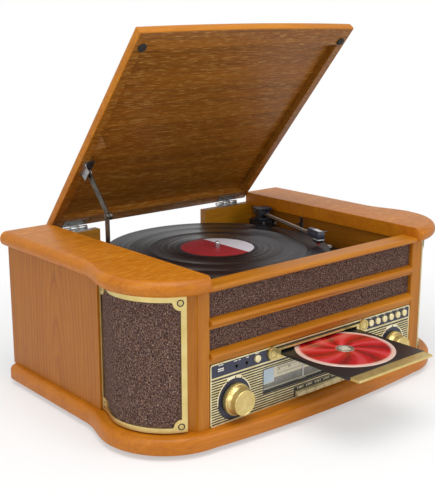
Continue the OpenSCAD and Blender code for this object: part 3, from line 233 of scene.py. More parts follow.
# solid beech edging: even, with faint grain that follows the board's length
beech = stained_wood("stained beech edging", (70, 5, 5), ["#a85f02", "#b96c04", "#c47808"], 0.1)
plinth_foot, plinth_top, plinth_round = 6, 25.5, 7.5
levels = [(plinth_foot, 2.0), (plinth_foot + 0.6, 0.8), (plinth_foot + 2.0, 0.0)]
levels += [(plinth_top - plinth_round * (1 - math.sin(math.radians(a))),
            plinth_round * (1 - math.cos(math.radians(a)))) for a in range(0, 91, 9)]
piece("plinth_board", [loft([
    [at(x, y, z) for x, y in both_halves(
        bowed_front(inset, half_bay, 30) + side_outline(inset))] for z, inset in levels])],
    [beech], "cabinet", ["plinth"])


# ---- Feet ----
# Four low pads of black rubber, screwed under the plinth.

def mottled(name, figure, stops, relief=None, kind="ShaderNodeTexNoise", **sockets):
    """A material mottled between the colours of stops. figure holds the sockets of its texture,
    and relief the strength of the texture's bump and its depth in mm."""
    material, shader = surface(name, **sockets)
    place = add(material, "ShaderNodeTexCoord")
    texture = add(material, kind, {"Vector": place.outputs["Object"], **figure})
    tint = add(material, "ShaderNodeValToRGB", {"Fac": texture.outputs[0]}, stops=stops)
    join(material, tint.outputs[0], shader, "Base Color")
    if relief:
        strength, depth = relief
        bump = add(material, "ShaderNodeBump", {
            "Height": texture.outputs[0], "Strength": strength, "Distance": depth * mm})
        join(material, bump.outputs[0], shader, "Normal")
    return material


rubber = mottled("moulded black rubber", {"Scale": 900.0}, [(0.3, "#141414"), (0.7, "#232323")],
                 (0.2, 0.1), Roughness=0.75, IOR=1.5)


def finish_node(node, *finishes, bevel=0.0):
    """Gives a CAD node its finish, and softens its edges where a width in mm is given."""
    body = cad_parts[node]
    body.data.materials.clear()
    for finish in finishes:
        body.data.materials.append(finish)
    if bevel:
        weld = body.modifiers.new("one skin", "WELD")
        weld.merge_threshold = 2e-6
        edge = body.modifiers.new("soft edges", "BEVEL")
        edge.width, edge.segments, edge.harden_normals = bevel * mm, 2, True
        edge.limit_method, edge.angle_limit = "ANGLE", math.radians(40)


finish_node("feet", rubber)


# ---- Side panels, bay walls and rear wall ----
# Boards faced with oak veneer under the same amber stain. The grain stands upright on the side
# panels and runs along the walls of the record bay.

upright_oak = stained_wood("upright oak veneer", (1.5, 1.5, 60),
                           ["#9c5b02", "#a86504", "#b3700c"], 0.22,
                           arches=(0, (215 - panel_face) * mm, 10 * mm))
long_oak = stained_wood("oak veneer along the bay", (3, 110, 3),
                        ["#7a4704", "#8a5206", "#985f0a"], 0.25)
finish_node("side_panels", upright_oak)
finish_node("inner_walls", long_oak)
finish_node("rear_wall", stained_wood("oak veneer of the rear wall", (110, 3, 3),
                                      ["#9d6204", "#ae7008", "#bb7e10"], 0.25), bevel=0.4)


# ---- Posts and cross rails ----
# Solid beech, shaped with a router: the posts have a hollow at their outer corner, and the rails
# a round nose. They are glued and pinned between the side units.

def prism(profile, place, start, end):
    """A bar with this profile; place turns (u, v, distance) into a point."""
    return loft([[place(u, v, end) for u, v in profile], [place(u, v, start) for u, v in profile]])


upright_beech = stained_wood("stained beech posts", (5, 5, 90),
                             ["#9c5a04", "#ac6808", "#b7740e"], 0.12)
board_foot = 186        # underside of the top boards
post_in, post_out, post_front, post_back, hollow = 174, 200.5, -1, 18, 9.5
post_profile = ([(post_in, post_back), (post_in, post_front + 1.2), (post_in + 1.2, post_front)]
                + arc(post_out, post_front, hollow, 180, 90, 14) + [(post_out, post_back)])
for side, name in ((-1, "left"), (1, "right")):
    piece("post_" + name, [prism(post_profile, lambda u, v, d: at(side * u, v, d),
                                 plinth_top, board_foot)],
          [upright_beech], "cabinet", ["posts"])

rail_back = 18


def nosed(bottom, height, nose):
    """Section of a cross rail in depth and height, with its round nose."""
    radius = 3.4
    return ([(rail_back, bottom), (rail_back, bottom + height), (2, bottom + height)]
            + arc(radius - 5, bottom + nose, radius, 100, 262, 14)
            + [(0, bottom + nose - radius), (0.4, bottom)])


rail_beech = stained_wood("stained beech rails", (90, 4, 4),
                          ["#a05e05", "#b26d09", "#c27d14"], 0.12)
top_rail = ([(20, board_foot), (20, 192.3)] + arc(-2, 189.3, 3, 90, 180, 10)
            + [(-5, 187.4), (-4, board_foot)])
rail_reach = 174        # half the length of the two rails between the posts
for name, profile, reach in (("top_rail", top_rail, half_bay),
                             ("upper_rail", nosed(142, 12, 7.2), rail_reach),
                             ("lower_rail", nosed(101, 15, 9.4), rail_reach)):
    piece(name, [prism(profile, lambda u, v, d: at(d, u, v), -reach, reach)],
          [rail_beech], "cabinet", ["fascia_rails"])


# ---- Speaker cloth ----
# Tweed of brown, grey and straw yarns, glued on thin board: two flat strips between the rails and
# one curved piece over each speaker.

tweed, shader = surface("woven speaker tweed", Roughness=0.95, Specular_IOR_Level=0.15)
place = add(tweed, "ShaderNodeTexCoord")
# yarns lie 1 mm apart; the fleck is drawn at 1.5 mm so that it shows
fleck = add(tweed, "ShaderNodeTexNoise", {
    "Vector": place.outputs["Object"], "Scale": 1 / (1.5 * mm), "Detail": 3.0, "Roughness": 0.75})
yarn = add(tweed, "ShaderNodeTexNoise", {
    "Vector": place.outputs["Object"], "Scale": 1 / (3.4 * mm), "Detail": 2.0})
mixed = add(tweed, "ShaderNodeValToRGB", {"Fac": fleck.outputs[0]}, stops=[
    (0.36, "#231714"), (0.46, "#523d35"), (0.54, "#6f5850"), (0.62, "#9a8071"), (0.72, "#d2bda4")])
cast = add(tweed, "ShaderNodeValToRGB", {"Fac": yarn.outputs[0]}, stops=[
    (0.35, "#d7c0b4"), (0.5, "#e6dcd8"), (0.65, "#c8c6dc")])
dyed = add(tweed, "ShaderNodeMix", {0: 0.7, 6: mixed.outputs[0], 7: cast.outputs[0]},
           data_type="RGBA", blend_type="MULTIPLY")
join(tweed, dyed.outputs[2], shader, "Base Color")
relief = add(tweed, "ShaderNodeBump", {
    "Height": fleck.outputs[0], "Strength": 0.7, "Distance": 0.8 * mm})
join(tweed, relief.outputs[0], shader, "Normal")

grille_radius, tail_length, tail_end = 72.5, 47, 150
tail_in = 11.5


def grille_point(s, stand_off):
    """Plan of the speaker corner: s runs from the front (0) past the side (90) down the tail."""
    if s <= 90:
        turn = math.radians(s)
        return (half_bay + (grille_radius + stand_off) * math.sin(turn),
                corner_y - (grille_radius + stand_off) * math.cos(turn))
    t = (s - 90) / (tail_end - 90)
    slope = Vector((-tail_in * math.pi / 2 * math.sin(math.pi * t), tail_length)).normalized()
    return (half_bay + grille_radius - tail_in * (1 - math.cos(math.pi * t)) / 2
            + stand_off * slope[1], corner_y + tail_length * t - stand_off * slope[0])


cloth_front, cloth_back, cloth_reach = 5, 14, 174
for name, low, high in (("lower", 116, 142), ("upper", 154, board_foot)):
    piece("cloth_strip_" + name, [prism(
        [(cloth_back, low), (cloth_back, high), (cloth_front, high), (cloth_front, low)],
        lambda u, v, d: at(d, u, v), -cloth_reach, cloth_reach)],
        [tweed], "cabinet", ["cloth_panels"])
grille_start, grille_foot, grille_head = 19.75, 27.5, 184.5
for side, name in ((-1, "left"), (1, "right")):
    plan = [grille_point(grille_start + 0.6 + (tail_end - grille_start - 1.1) * i / 60, -2.2)
            for i in range(61)]
    plan += [grille_point(tail_end - 0.5 - (tail_end - grille_start - 1.1) * i / 60, -5.2)
             for i in range(61)]
    piece("speaker_cloth_" + name, [loft([[at(side * x, y, z) for x, y in plan]
                                          for z in (grille_foot - 1.5, grille_head + 1)])],
          [tweed], "cabinet", ["cloth_panels"])


# ---- Speaker frames ----
# Sheet brass pressed to shape and lacquered, 2 mm thick, with a round lobe at each corner for its
# screw. They hold the curved cloth against the cabinet.

brass = mottled("lacquered pressed brass", {"Scale": 60.0, "Detail": 4.0},
                [(0.3, "#cfb874"), (0.7, "#dcc88a")], Metallic=1.0, Roughness=0.34)
frame_rail, frame_edge, lobe, lobe_inset = 6.5, 6, 8.5, 7
turn_per_mm = 180 / math.pi / grille_radius
front_ear, tail_ear = grille_start + lobe_inset * turn_per_mm, tail_end - 8    # the screws' places
tail_rail = tail_end - 4.5      # where the upright rail at the back begins
sheet = 2


def window_edge(s):
    """Height of the window's lower edge above the frame's foot at s, or None beside the window."""
    rail = frame_rail * turn_per_mm
    if s < grille_start + rail or s > tail_rail:
        return None
    height = frame_edge
    for ear, scale in ((front_ear, turn_per_mm), (tail_ear, 1.28)):
        away = (s - ear) / scale
        if abs(away) < lobe:
            height = max(height, lobe_inset + math.sqrt(lobe ** 2 - away ** 2))
    return height


middle = (grille_foot + grille_head) / 2
stations = sorted({grille_start + (tail_end - grille_start) * i / 150 for i in range(151)}
                  | {grille_start + frame_rail * turn_per_mm, tail_rail})
for side, name in ((-1, "left"), (1, "right")):
    points, faces = [], []
    for s, following in zip(stations, stations[1:]):
        mid_edge = window_edge((s + following) / 2)
        for sign in (-1, 1):
            outer = grille_foot if sign < 0 else grille_head
            rows = []
            for here in (s, following):
                edge = window_edge(min(max(here, s + 1e-6), following - 1e-6))
                inner = middle if mid_edge is None else outer - sign * edge
                rows += [(here, outer), (here, inner)]
            for stand_off in (0, -sheet):
                for r, z in rows:
                    x, y = grille_point(r, stand_off)
                    points.append(at(side * x, y, z))
            k = len(points) - 8
            faces += [(k, k + 1, k + 3, k + 2), (k + 4, k + 6, k + 7, k + 5),
                      (k, k + 2, k + 6, k + 4)]
            if mid_edge is not None:
                faces.append((k + 1, k + 5, k + 7, k + 3))
            for near, first in ((s, 0), (following, 2)):
                beyond = window_edge(near + (1e-4 if near is following else -1e-4))
                at_end = near in (stations[0], stations[-1])
                opens = (beyond is None) != (mid_edge is None)
                if at_end or (opens and mid_edge is None):
                    faces.append((k + first, k + first + 1, k + first + 5, k + first + 4))
    piece("speaker_frame_" + name, [(points, faces)], [brass], "cabinet",
          ["grille_frames"], bevel=0.55, sharp=40)


# ---- Screws ----
# Cross-head screws of brassed steel that hold the speaker frames and the back cover. Each frame
# screw sits in a dimple whose shade is painted as a thin black ring.

nickel = mottled("nickel-plated steel", {"Scale": 400.0, "Detail": 3.0},
                 [(0.3, "#9d9b94"), (0.7, "#c9c7bf")], Metallic=1.0, Roughness=0.32)
brassed = mottled("brass-plated screw steel", {"Scale": 400.0, "Detail": 3.0},
                  [(0.3, "#b79b57"), (0.7, "#d8c383")], Metallic=1.0, Roughness=0.3)
finish_node("fixing_screws", brassed, bevel=0.15)


def lathe(profile, place, steps):
    """Turns a profile of (radius, distance) about an axis; place turns (u, v, distance) into a
    point. A radius of 0 closes the end."""
    points, faces, rows = [], [], []
    for radius, distance in profile:
        if radius == 0:
            rows.append([len(points)] * steps)
            points.append(place(0, 0, distance))
        else:
            rows.append(list(range(len(points), len(points) + steps)))
            points += [place(radius * math.cos(2 * math.pi * i / steps),
                             radius * math.sin(2 * math.pi * i / steps), distance)
                       for i in range(steps)]
    for one, two in zip(rows, rows[1:]):
        for i in range(steps):
            corners = [one[i], one[(i + 1) % steps], two[(i + 1) % steps], two[i]]
            faces.append(tuple(dict.fromkeys(corners)))
    return points, faces


# black rings round the frame screws: painted shade of the dimples they sit in
for side, name in ((-1, "left"), (1, "right")):
    dimple_shades = []
    for s in (front_ear, tail_ear):
        foot, tip = (Vector(grille_point(s, off)) for off in (0, 1))
        out, flat = tip - foot, Vector((foot.y - tip.y, tip.x - foot.x))
        for z in (grille_foot + lobe_inset, grille_head - lobe_inset):
            dimple_shades.append(lathe([(2.7, 0.05), (4.0, 0.05), (4.2, -0.2), (2.7, -0.2), (2.7, 0.05)],
                                 lambda u, v, d: at(side * (foot.x + flat.x * u + out.x * d),
                                                    foot.y + flat.y * u + out.y * d, z + v), 32))
    piece("screw_painted_shade_rings_" + name, dimple_shades, [rubber], "cabinet")


# ---- Top boards ----
# One board over each side unit: chipboard with oak veneer on its faces, its grain from side to
# side, and an edging of solid beech turned to a full round.

cross_oak = stained_wood("oak veneer of the tops", (90, 2.6, 2.6),
                         ["#a85e02", "#b76a04", "#c4780a"], 0.3,
                         streak=("#dc9a3c", (6.5, 2.0, 2.0)))
board_top = 205
edge_round = (board_top - board_foot) / 2
corner_round = 7
bends = 41 + 24         # points of the side outline before its back corner
for side, name in ((-1, "left"), (1, "right")):
    rings = []
    for a in range(-90, 91, 12):
        inset = edge_round * (1 - math.cos(math.radians(a)))
        small = max(corner_round - 0.5 * inset, 2)
        plan = arc(half_bay + small, corner_y - board_radius + inset + small, small, 180, 264, 8)
        plan += [(x, y) for x, y in side_outline(inset)[:bends] if x > half_bay + corner_round + 1
                 or y > corner_y]
        plan += [(board_side - inset, cabinet_depth), (half_bay, cabinet_depth)]
        rings.append([at(side * x, y, board_foot + edge_round * (1 + math.sin(math.radians(a))))
                      for x, y in plan])
    points, faces = loft(rings)
    numbers = [0] * len(faces)
    numbers[-2:] = [1, 1]
    piece("top_board_" + name, [(points, faces, numbers)], [beech, cross_oak],
          "cabinet", ["top_board_" + name])


# ---- Back cover and speakers ----
# Black-painted hardboard closes the back. Behind each cloth stands a fibreboard baffle with a
# small paper-coned speaker in a pressed basket.

# the press screen's mesh, 1.6 mm
hardboard = mottled("black painted hardboard", {"Scale": 1 / (1.6 * mm)},
                    [(0.1, "#171615"), (0.8, "#242321")],
                    (0.3, 0.15), kind="ShaderNodeTexVoronoi", Roughness=0.6, IOR=1.5)
finish_node("back_cover", hardboard)

fibreboard = mottled("raw fibreboard", {"Scale": 700.0, "Detail": 4.0},
                     [(0.35, "#75593c"), (0.65, "#9b7d58")], Roughness=0.85, IOR=1.5)
finish_node("speaker_baffles", fibreboard)

paper = mottled("pressed black paper", {"Scale": 1400.0, "Detail": 3.0},
                [(0.35, "#191819"), (0.65, "#2b2a2b")], Roughness=0.8, IOR=1.5)
finish_node("speakers", paper)


# ---- Control panel ----
# Black moulded ABS with a fine satin texture. Its gold lines are hot-stamped: a rim, a bar under
# the drawer strip and pinstripes between them. The strips beside the drawer are dark blue film.

black_abs = mottled("moulded black ABS", {"Scale": 1500.0, "Detail": 2.0},
                    [(0.3, "#101012"), (0.7, "#1c1b1f")], (0.12, 0.05), Roughness=0.34, IOR=1.53)
finish_node("control_panel", black_abs, bevel=0.3)


def hazed(name, dark, light, metallic, roughness):
    """A foil, ink, plating or moulding with the slight haze of its surface."""
    return mottled(name, {"Scale": 140.0, "Detail": 3.0}, [(0.3, dark), (0.7, light)],
                   (0.04, 0.3), Metallic=metallic, Roughness=roughness)


stamped_gold = hazed("hot-stamped gold foil", "#cfc08c", "#ece0b2", 0.35, 0.35)
finish_node("panel_trim", stamped_gold)

film = mottled("dark blue printed film", {"Scale": 260.0}, [(0.3, "#22243a"), (0.7, "#2d3048")],
               Roughness=0.3, IOR=1.5)
white_ink = hazed("white screen print", "#d9d7cf", "#efeee8", 0.0, 0.5)

panel_head = 100.5
knob_x, knob_z, button_z, power_x, first_button, button_step = 137.9, 52.5, 91.9, -103, 95, 13.3
button_hole = 4.8
film_face, ink_face = -0.38, -0.44      # fronts of film and print, ahead of the panel's face


def flat_sheet(kind, fill, front, thickness=0.06):
    """A thin printed or cut sheet on the panel; fill draws its outline on a flat curve."""
    curve = bpy.data.curves.new("cut", kind)
    if kind == "CURVE":
        curve.dimensions, curve.fill_mode = "2D", "BOTH"
        for outline in fill:
            line = curve.splines.new("POLY")
            line.points.add(len(outline) - 1)
            for point, (x, z) in zip(line.points, outline):
                point.co = (x, z, 0, 1)
            line.use_cyclic_u = True
    else:
        curve.body, curve.size, x, z = fill
        curve.align_x, curve.align_y = "CENTER", "CENTER"
        curve.offset_x, curve.offset_y = x, z
    curve.extrude = thickness / 2
    holder = bpy.data.objects.new("cut", curve)
    flat = bpy.data.meshes.new_from_object(holder)
    shape = ([at(v.co.x, front + thickness / 2 - v.co.z, v.co.y) for v in flat.vertices],
             [tuple(p.vertices) for p in flat.polygons])
    bpy.data.objects.remove(holder)
    bpy.data.curves.remove(curve)
    bpy.data.meshes.remove(flat)
    return shape


def bar(x0, z0, x1, z1):
    """Outline of a rectangle on the panel."""
    return [(x0, z0), (x1, z0), (x1, z1), (x0, z1)]


def band(cx, cz, radius, width, start, end):
    """A curved stroke round (cx, cz)."""
    steps = max(4, int((end - start) / 5))
    return arc(cx, cz, radius + width, start, end, steps) + arc(cx, cz, radius, end, start, steps)


strip_low, strip_high = 84.3, panel_head - 1.7
left_strip = [bar(-171.7, strip_low, -87.3, strip_high), bar(-164, 89.5, -152, 94.3)]
left_strip += [arc(x, z, r, 0, 354, 59) for x, z, r in (
    (-134.5, 90.5, 2.3), (-119, 90.5, 2.3), (power_x, button_z, button_hole))]
right_strip = [bar(87.3, strip_low, 171.7, strip_high)]
right_strip += [arc(first_button + button_step * i, button_z, button_hole, 0, 354, 59)
                for i in range(6)]
piece("panel_film", [flat_sheet("CURVE", strip, film_face) for strip in (left_strip, right_strip)],
      [film], "cabinet")

# short white legends over the sockets and buttons, and beside the knobs' travel
marks = [bar(x - w / 2, z, x + w / 2, z + 0.9) for x, z, w in (
    (-158, 96.9, 7), (-136, 96.6, 5), (-130, 96.6, 3), (-118, 96.6, 4), (power_x, 97.7, 6))]
marks += [bar(x - 2.2, 97.8, x + 2.2, 98.5)
          for x in (first_button + button_step * i for i in range(6))]
marks += [bar(-162.6, 92.4, -153.4, 93.7), bar(-162.6, 90.1, -153.4, 91.4)]
piece("panel_legends", [flat_sheet("CURVE", marks, ink_face)], [white_ink], "cabinet")

# a dark disc behind each knob, and the pale strokes of its travel round the upper half
piece("knob_backings", [flat_sheet("CURVE", [arc(side * knob_x, knob_z, 23.8, 0, 355, 71)], -0.08)
                        for side in (-1, 1)], [film], "cabinet")
strokes, travel_radius = [], 24.2
for side in (-1, 1):
    strokes += [band(side * knob_x, knob_z, travel_radius, 1.5, start, end)
                for start, end in ((8, 62), (118, 188))]
    strokes += [band(side * knob_x, knob_z, travel_radius, 3.6, start, end)
                for start, end in ((66, 84), (88, 114))]
piece("knob_travel_marks", [flat_sheet("CURVE", strokes, -0.55)],
      [hazed("pale gold screen print", "#e6dcb6", "#f4ecd0", 0.1, 0.4)], "cabinet")


# ---- Radio dial ----
# A clear acrylic window over a printed card. A small display module stands at its left, and a
# white needle rides along the scale in front of the card.

acrylic, shader = surface("clear moulded acrylic", Base_Color=linear("#e9eef0"), Roughness=0.06,
                          IOR=1.49, Alpha=0.05)
place = add(acrylic, "ShaderNodeTexCoord")
wave = add(acrylic, "ShaderNodeTexNoise", {"Vector": place.outputs["Object"], "Scale": 40.0})
relief = add(acrylic, "ShaderNodeBump", {
    "Height": wave.outputs[0], "Strength": 0.05, "Distance": 0.4 * mm})
join(acrylic, relief.outputs[0], shader, "Normal")
finish_node("display_window", acrylic)

# the card glows faintly: painted light that lifts it out of the shade under the disc drawer
card = mottled("cream printed card with painted glow", {"Scale": 500.0, "Detail": 3.0},
               [(0.35, "#cdc2a4"), (0.65, "#dfd6bc")],
               Roughness=0.6, IOR=1.5, Emission_Color=linear("#d8cdb0"), Emission_Strength=0.22)
finish_node("dial_scale", card)

window_low, window_half, card_y = 46, 92, 8
print_face, scale_start = card_y - 0.07, -60
brown_ink = hazed("brown screen print", "#4a3420", "#5d452c", 0.0, 0.6)
rows = []
for low, count in ((67.6, 41), (60.6, 33)):
    for i in range(count):
        x = scale_start + 144 * i / (count - 1)
        rows.append(bar(x - 0.16, low, x + 0.16, low + (2.6 if i % 4 == 0 else 1.4)))
rows += [bar(-62, z, 86, z + 0.4) for z in (67.2, 60.2)]
figures = [flat_sheet("FONT", (str(88 + 2 * i), 4.2, scale_start + 14.4 * i, 72.2), print_face)
           for i in range(11)]
figures += [flat_sheet("FONT", (str(n), 4.2, scale_start + 18 * i, 65.4), print_face)
            for i, n in enumerate((54, 60, 70, 80, 100, 120, 140, 160))]
piece("dial_printing", [flat_sheet("CURVE", rows, print_face)] + figures,
      [brown_ink], "cabinet")
# a grey band along the foot of the card: painted reflection of the window's glass, drawn on the
# card
grey_painted_reflection = hazed("grey painted reflection", "#8e8a7e", "#a09c90", 0.0, 0.55)
piece("dial_foot_painted_reflection", [flat_sheet("CURVE", [
    bar(-window_half + 0.4, window_low + 0.4, window_half - 0.4, window_low + 10.5)], print_face)],
      [grey_painted_reflection], "cabinet")

# the display's glass glows faintly: painted light that lifts it out of the shade under the disc
# drawer
liquid_crystal = mottled("liquid crystal glass with painted glow", {"Scale": 60.0},
                         [(0.3, "#9fb0ba"), (0.7, "#adbcc6")],
                         Roughness=0.12, IOR=1.5,
                         Emission_Color=linear("#b6c6d2"), Emission_Strength=0.3)
piece("display_module", [flat_sheet("CURVE", [bar(-91.2, 53, -69, 73.4)], 6.9, 0.6)],
      [liquid_crystal], "cabinet", bevel=0.2)
finish_node("dial_pointer", white_ink)


# ---- Drawer surround, sockets, buttons and keys ----
# Metallised ABS in champagne gold: the surround of the drawer slot with its two lobes, seven
# round buttons and six piano keys. The sockets are black moulded shells.

champagne = hazed("champagne gold metallised ABS", "#c9b06a", "#d9c586", 0.8, 0.33)
# a paler copy of the champagne gold: partly the keys' and buttons' own bright gold, partly painted
# light that lifts the low keys out of their shade
pale_champagne_painted_light = hazed("pale gold metallised buttons", "#dccb94", "#efe3b6", 0.35, 0.3)
finish_node("drawer_surround", champagne, bevel=0.25)
finish_node("sockets", black_abs, bevel=0.15)
for node in ["power_button"] + [f"round_button_{i}" for i in range(1, 7)]:
    finish_node(node, pale_champagne_painted_light)
for i in range(1, 7):
    finish_node(f"key_{i}", pale_champagne_painted_light, bevel=0.35)
key_start, key_step = -38.5, 15.3
piece("key_legends", [flat_sheet("CURVE", [
    bar(key_start + key_step * i + dx, 36, key_start + key_step * i + dx + w, 38.4)
    for i in range(6) for dx, w in ((2.4, 2.2), (6, 4.4), (11.4, 1.6))], -0.1)],
    [hazed("pale gold film print", "#b9b08e", "#d0c8a8", 0.1, 0.45)], "cabinet")
# raised plates that end the surround; the turned ring in each is drawn as a thin brown band,
# painted shade of its groove
plate_x, plate_z = 79.5, 92.5
piece("surround_plates", [flat_sheet("CURVE", [arc(side * plate_x, plate_z, 7.4, 0, 354, 59)],
                                     -3.55, 1.2)
                          for side in (-1, 1)], [champagne], "cabinet", bevel=0.25)
piece("surround_ring_painted_shade", [flat_sheet("CURVE", [band(side * plate_x, plate_z, 4.6, 0.6, 0, 359)],
                                    -3.6)
                         for side in (-1, 1)], [brown_ink], "cabinet")


# ---- Knobs ----
# Volume and tuning: ABS turned and metallised, with a fluted skirt, a waist and a plain cap whose
# face has a fine turned ring.

skirt, cap, knob_length, flutes = 19, 15.8, 20, 44
cap_profile = ([(0, 0.8), (skirt - 2.2, 0.8), (skirt - 1.3, 1.4), (skirt - 1.3, 8),
                (skirt - 2, 8.8), (cap + 1, 9.7), (cap - 0.2, 10.8), (cap - 0.6, 12.5),
                (cap - 0.6, 17.2)]
               + [(cap - 1.6 + math.cos(math.radians(a)), 18.6 + 1.4 * math.sin(math.radians(a)))
                  for a in range(15, 91, 15)]
               + [(cap - 2.6, knob_length), (cap - 2.9, knob_length - 0.35),
                  (cap - 3.3, knob_length - 0.35), (cap - 3.6, knob_length),
                  (4, knob_length - 0.15), (0, knob_length - 0.1)])
flute_profile = [(1.0, 0), (1.6, 1), (7.4, 1), (8, 0)]
for side, body in ((-1, "volume_knob"), (1, "tuning_knob")):
    def spot(u, v, d):
        return at(side * knob_x + u, -d, knob_z + v)
    turned = lathe(cap_profile, spot, 96)
    rings = []
    for depth, height in flute_profile:
        ring = []
        for i in range(flutes * 6):
            turn = 2 * math.pi * i / (flutes * 6)
            crest = 0.5 + 0.5 * math.cos(flutes * turn)
            radius = skirt - 1.5 + (0.4 + 1.1 * crest) * height
            ring.append(spot(radius * math.cos(turn), radius * math.sin(turn), depth))
        rings.append(ring)
    shaft = lathe([(0, -11), (2.9, -11), (2.9, 1.5), (0, 1.5)], spot, 24)
    piece(body, [turned, loft(rings), shaft], [champagne], body, [body], sharp=50)


# ---- CD drawer ----
# Black ABS tray with a gold lip, on runners in a plated steel chassis. The disc is polycarbonate,
# printed with a red swirl and a cream rim; its hub is left clear over the aluminium.

finish_node("cd_tray", black_abs, bevel=0.4)
finish_node("tray_bezel", champagne, bevel=0.3)

disc_y, disc_top, disc_radius = -42.5, 91.5, 60
disc_middle = at(0, disc_y, 0)
printed, shader = surface("printed polycarbonate disc", Roughness=0.22, Coat_Weight=0.6,
                          Coat_Roughness=0.08, IOR=1.58)
place = add(printed, "ShaderNodeTexCoord")
centred = add(printed, "ShaderNodeVectorMath", {
    0: place.outputs["Object"], 1: (disc_middle.x, disc_middle.y, 0)}, operation="SUBTRACT")
parts = add(printed, "ShaderNodeSeparateXYZ", {0: centred.outputs[0]})
flat = add(printed, "ShaderNodeCombineXYZ", {"X": parts.outputs[0], "Y": parts.outputs[1]})
away = add(printed, "ShaderNodeVectorMath", {0: flat.outputs[0]}, operation="LENGTH")
turn = add(printed, "ShaderNodeMath", {0: parts.outputs[1], 1: parts.outputs[0]},
           operation="ARCTAN2")
# swirl of seven blades that lean further round toward the rim
lean = add(printed, "ShaderNodeMath", {0: away.outputs["Value"], 1: 60.0}, operation="MULTIPLY")
blades = add(printed, "ShaderNodeMath", {0: turn.outputs[0], 1: 7.0, 2: lean.outputs[0]},
             operation="MULTIPLY_ADD")
wave = add(printed, "ShaderNodeMath", {0: blades.outputs[0]}, operation="SINE")
shade = add(printed, "ShaderNodeValToRGB", {"Fac": add(printed, "ShaderNodeMapRange", {
    0: wave.outputs[0], 1: -1.0, 2: 1.0}).outputs[0]}, stops=[
    (0.0, "#8e0c16"), (0.3, "#b8121e"), (0.7, "#c8161f"), (0.95, "#d8404a")])
reach = add(printed, "ShaderNodeMapRange", {0: away.outputs["Value"], 1: 0.0, 2: disc_radius * mm})
rim = add(printed, "ShaderNodeValToRGB", {"Fac": reach.outputs[0]}, stops=[
    (0.0, "#ffffff"), (0.86, "#f0c8c0"), (0.93, "#ecc9bc"), (1.0, "#e6c6b8")])
rim_part = add(printed, "ShaderNodeValToRGB", {"Fac": reach.outputs[0]}, stops=[
    (0.0, "#000000"), (0.88, "#000000"), (0.94, "#ffffff"), (1.0, "#ffffff")])
blend = add(printed, "ShaderNodeMix", {0: rim_part.outputs[0], 6: shade.outputs[0],
                                       7: rim.outputs[0]}, data_type="RGBA")
join(printed, blend.outputs[2], shader, "Base Color")

mirror = mottled("aluminium under clear polycarbonate", {"Scale": 300.0},
                 [(0.3, "#b9b6ac"), (0.7, "#cfccc2")], Metallic=0.8, Roughness=0.25)


def flat_turn(cy):
    """Places a lathe's profile upright about an axis on the middle line at depth cy."""
    return lambda u, v, d: at(u, cy + v, d)


low = disc_top - 1.2
piece("disc_face", [lathe([(11.5, disc_top - 0.1), (12.2, disc_top), (59.6, disc_top),
                           (disc_radius, disc_top - 0.4), (disc_radius, low + 0.3), (59.6, low),
                           (11.5, low), (11.5, disc_top - 0.1)], flat_turn(disc_y), 128)],
      [printed], "disc", ["compact_disc"])
piece("disc_hub", [lathe([(7.5, disc_top - 0.1), (10.6, disc_top - 0.1), (11, disc_top - 0.35),
                          (11.5, disc_top - 0.1), (11.5, low - 0.2), (7.5, low - 0.2),
                          (7.5, disc_top - 0.1)], flat_turn(disc_y), 96)],
      [mirror], "disc", ["compact_disc"])

# spangle of the plating, 3 mm across
zinc = mottled("zinc-plated sheet steel", {"Scale": 1 / (3 * mm)},
               [(0.0, "#8f9192"), (1.0, "#b4b6b6")],
               kind="ShaderNodeTexVoronoi", Metallic=1.0, Roughness=0.35)
finish_node("cd_mechanism", zinc, bevel=0.3)


# ---- Record deck ----
# Black ABS deck plate on ledges in the bay. A motor with a brass pulley drives the pressed
# aluminium platter through a rubber belt; a grooved rubber mat carries the record.

finish_node("deck_plate", black_abs, bevel=0.4)
finish_node("drive_motor", zinc, bevel=0.3)
finish_node("drive_belt", rubber)
turned_brass = hazed("turned brass", "#b98d3e", "#cda253", 1.0, 0.25)
finish_node("motor_pulley", turned_brass)
finish_node("platter_mat", rubber)

aluminium = mottled("pressed aluminium", {"Scale": 350.0, "Detail": 4.0},
                    [(0.3, "#b6b8ba"), (0.7, "#cdced0")], Metallic=1.0, Roughness=0.33)
finish_node("platter", aluminium)

deck_y, record_radius, record_top, record_foot, label = 191.5, 151, 171.2, 169.6, 50
vinyl, shader = surface("pressed vinyl", Roughness=0.3, IOR=1.5, Anisotropic=0.8)
place = add(vinyl, "ShaderNodeTexCoord")
centred = add(vinyl, "ShaderNodeVectorMath", {
    0: place.outputs["Object"], 1: at(0, deck_y, record_top)}, operation="SUBTRACT")
away = add(vinyl, "ShaderNodeVectorMath", {0: centred.outputs[0]}, operation="LENGTH")
# bands of groove, drawn 2.4 mm wide; the real pitch of 0.1 mm is far too fine to show
pitch = add(vinyl, "ShaderNodeMath", {0: away.outputs["Value"], 1: 2 * math.pi / (2.4 * mm)},
            operation="MULTIPLY")
groove = add(vinyl, "ShaderNodeMath", {0: pitch.outputs[0]}, operation="SINE")
bands = add(vinyl, "ShaderNodeTexNoise", {
    "W": add(vinyl, "ShaderNodeMath", {0: away.outputs["Value"], 1: 220.0},
             operation="MULTIPLY").outputs[0], "Scale": 1.0, "Detail": 3.0}, noise_dimensions="1D")
tint = add(vinyl, "ShaderNodeValToRGB", {"Fac": bands.outputs[0]}, stops=[
    (0.35, "#0a0a10"), (0.65, "#14141c")])
join(vinyl, tint.outputs[0], shader, "Base Color")
rough = add(vinyl, "ShaderNodeMapRange", {0: bands.outputs[0], 3: 0.2, 4: 0.4})
join(vinyl, rough.outputs[0], shader, "Roughness")
round_about = add(vinyl, "ShaderNodeTangent", direction_type="RADIAL", axis="Z")
relief = add(vinyl, "ShaderNodeBump", {
    "Height": groove.outputs[0], "Strength": 0.35, "Distance": 0.02 * mm})
join(vinyl, relief.outputs[0], shader, "Normal")
join(vinyl, round_about.outputs[0], shader, "Tangent")

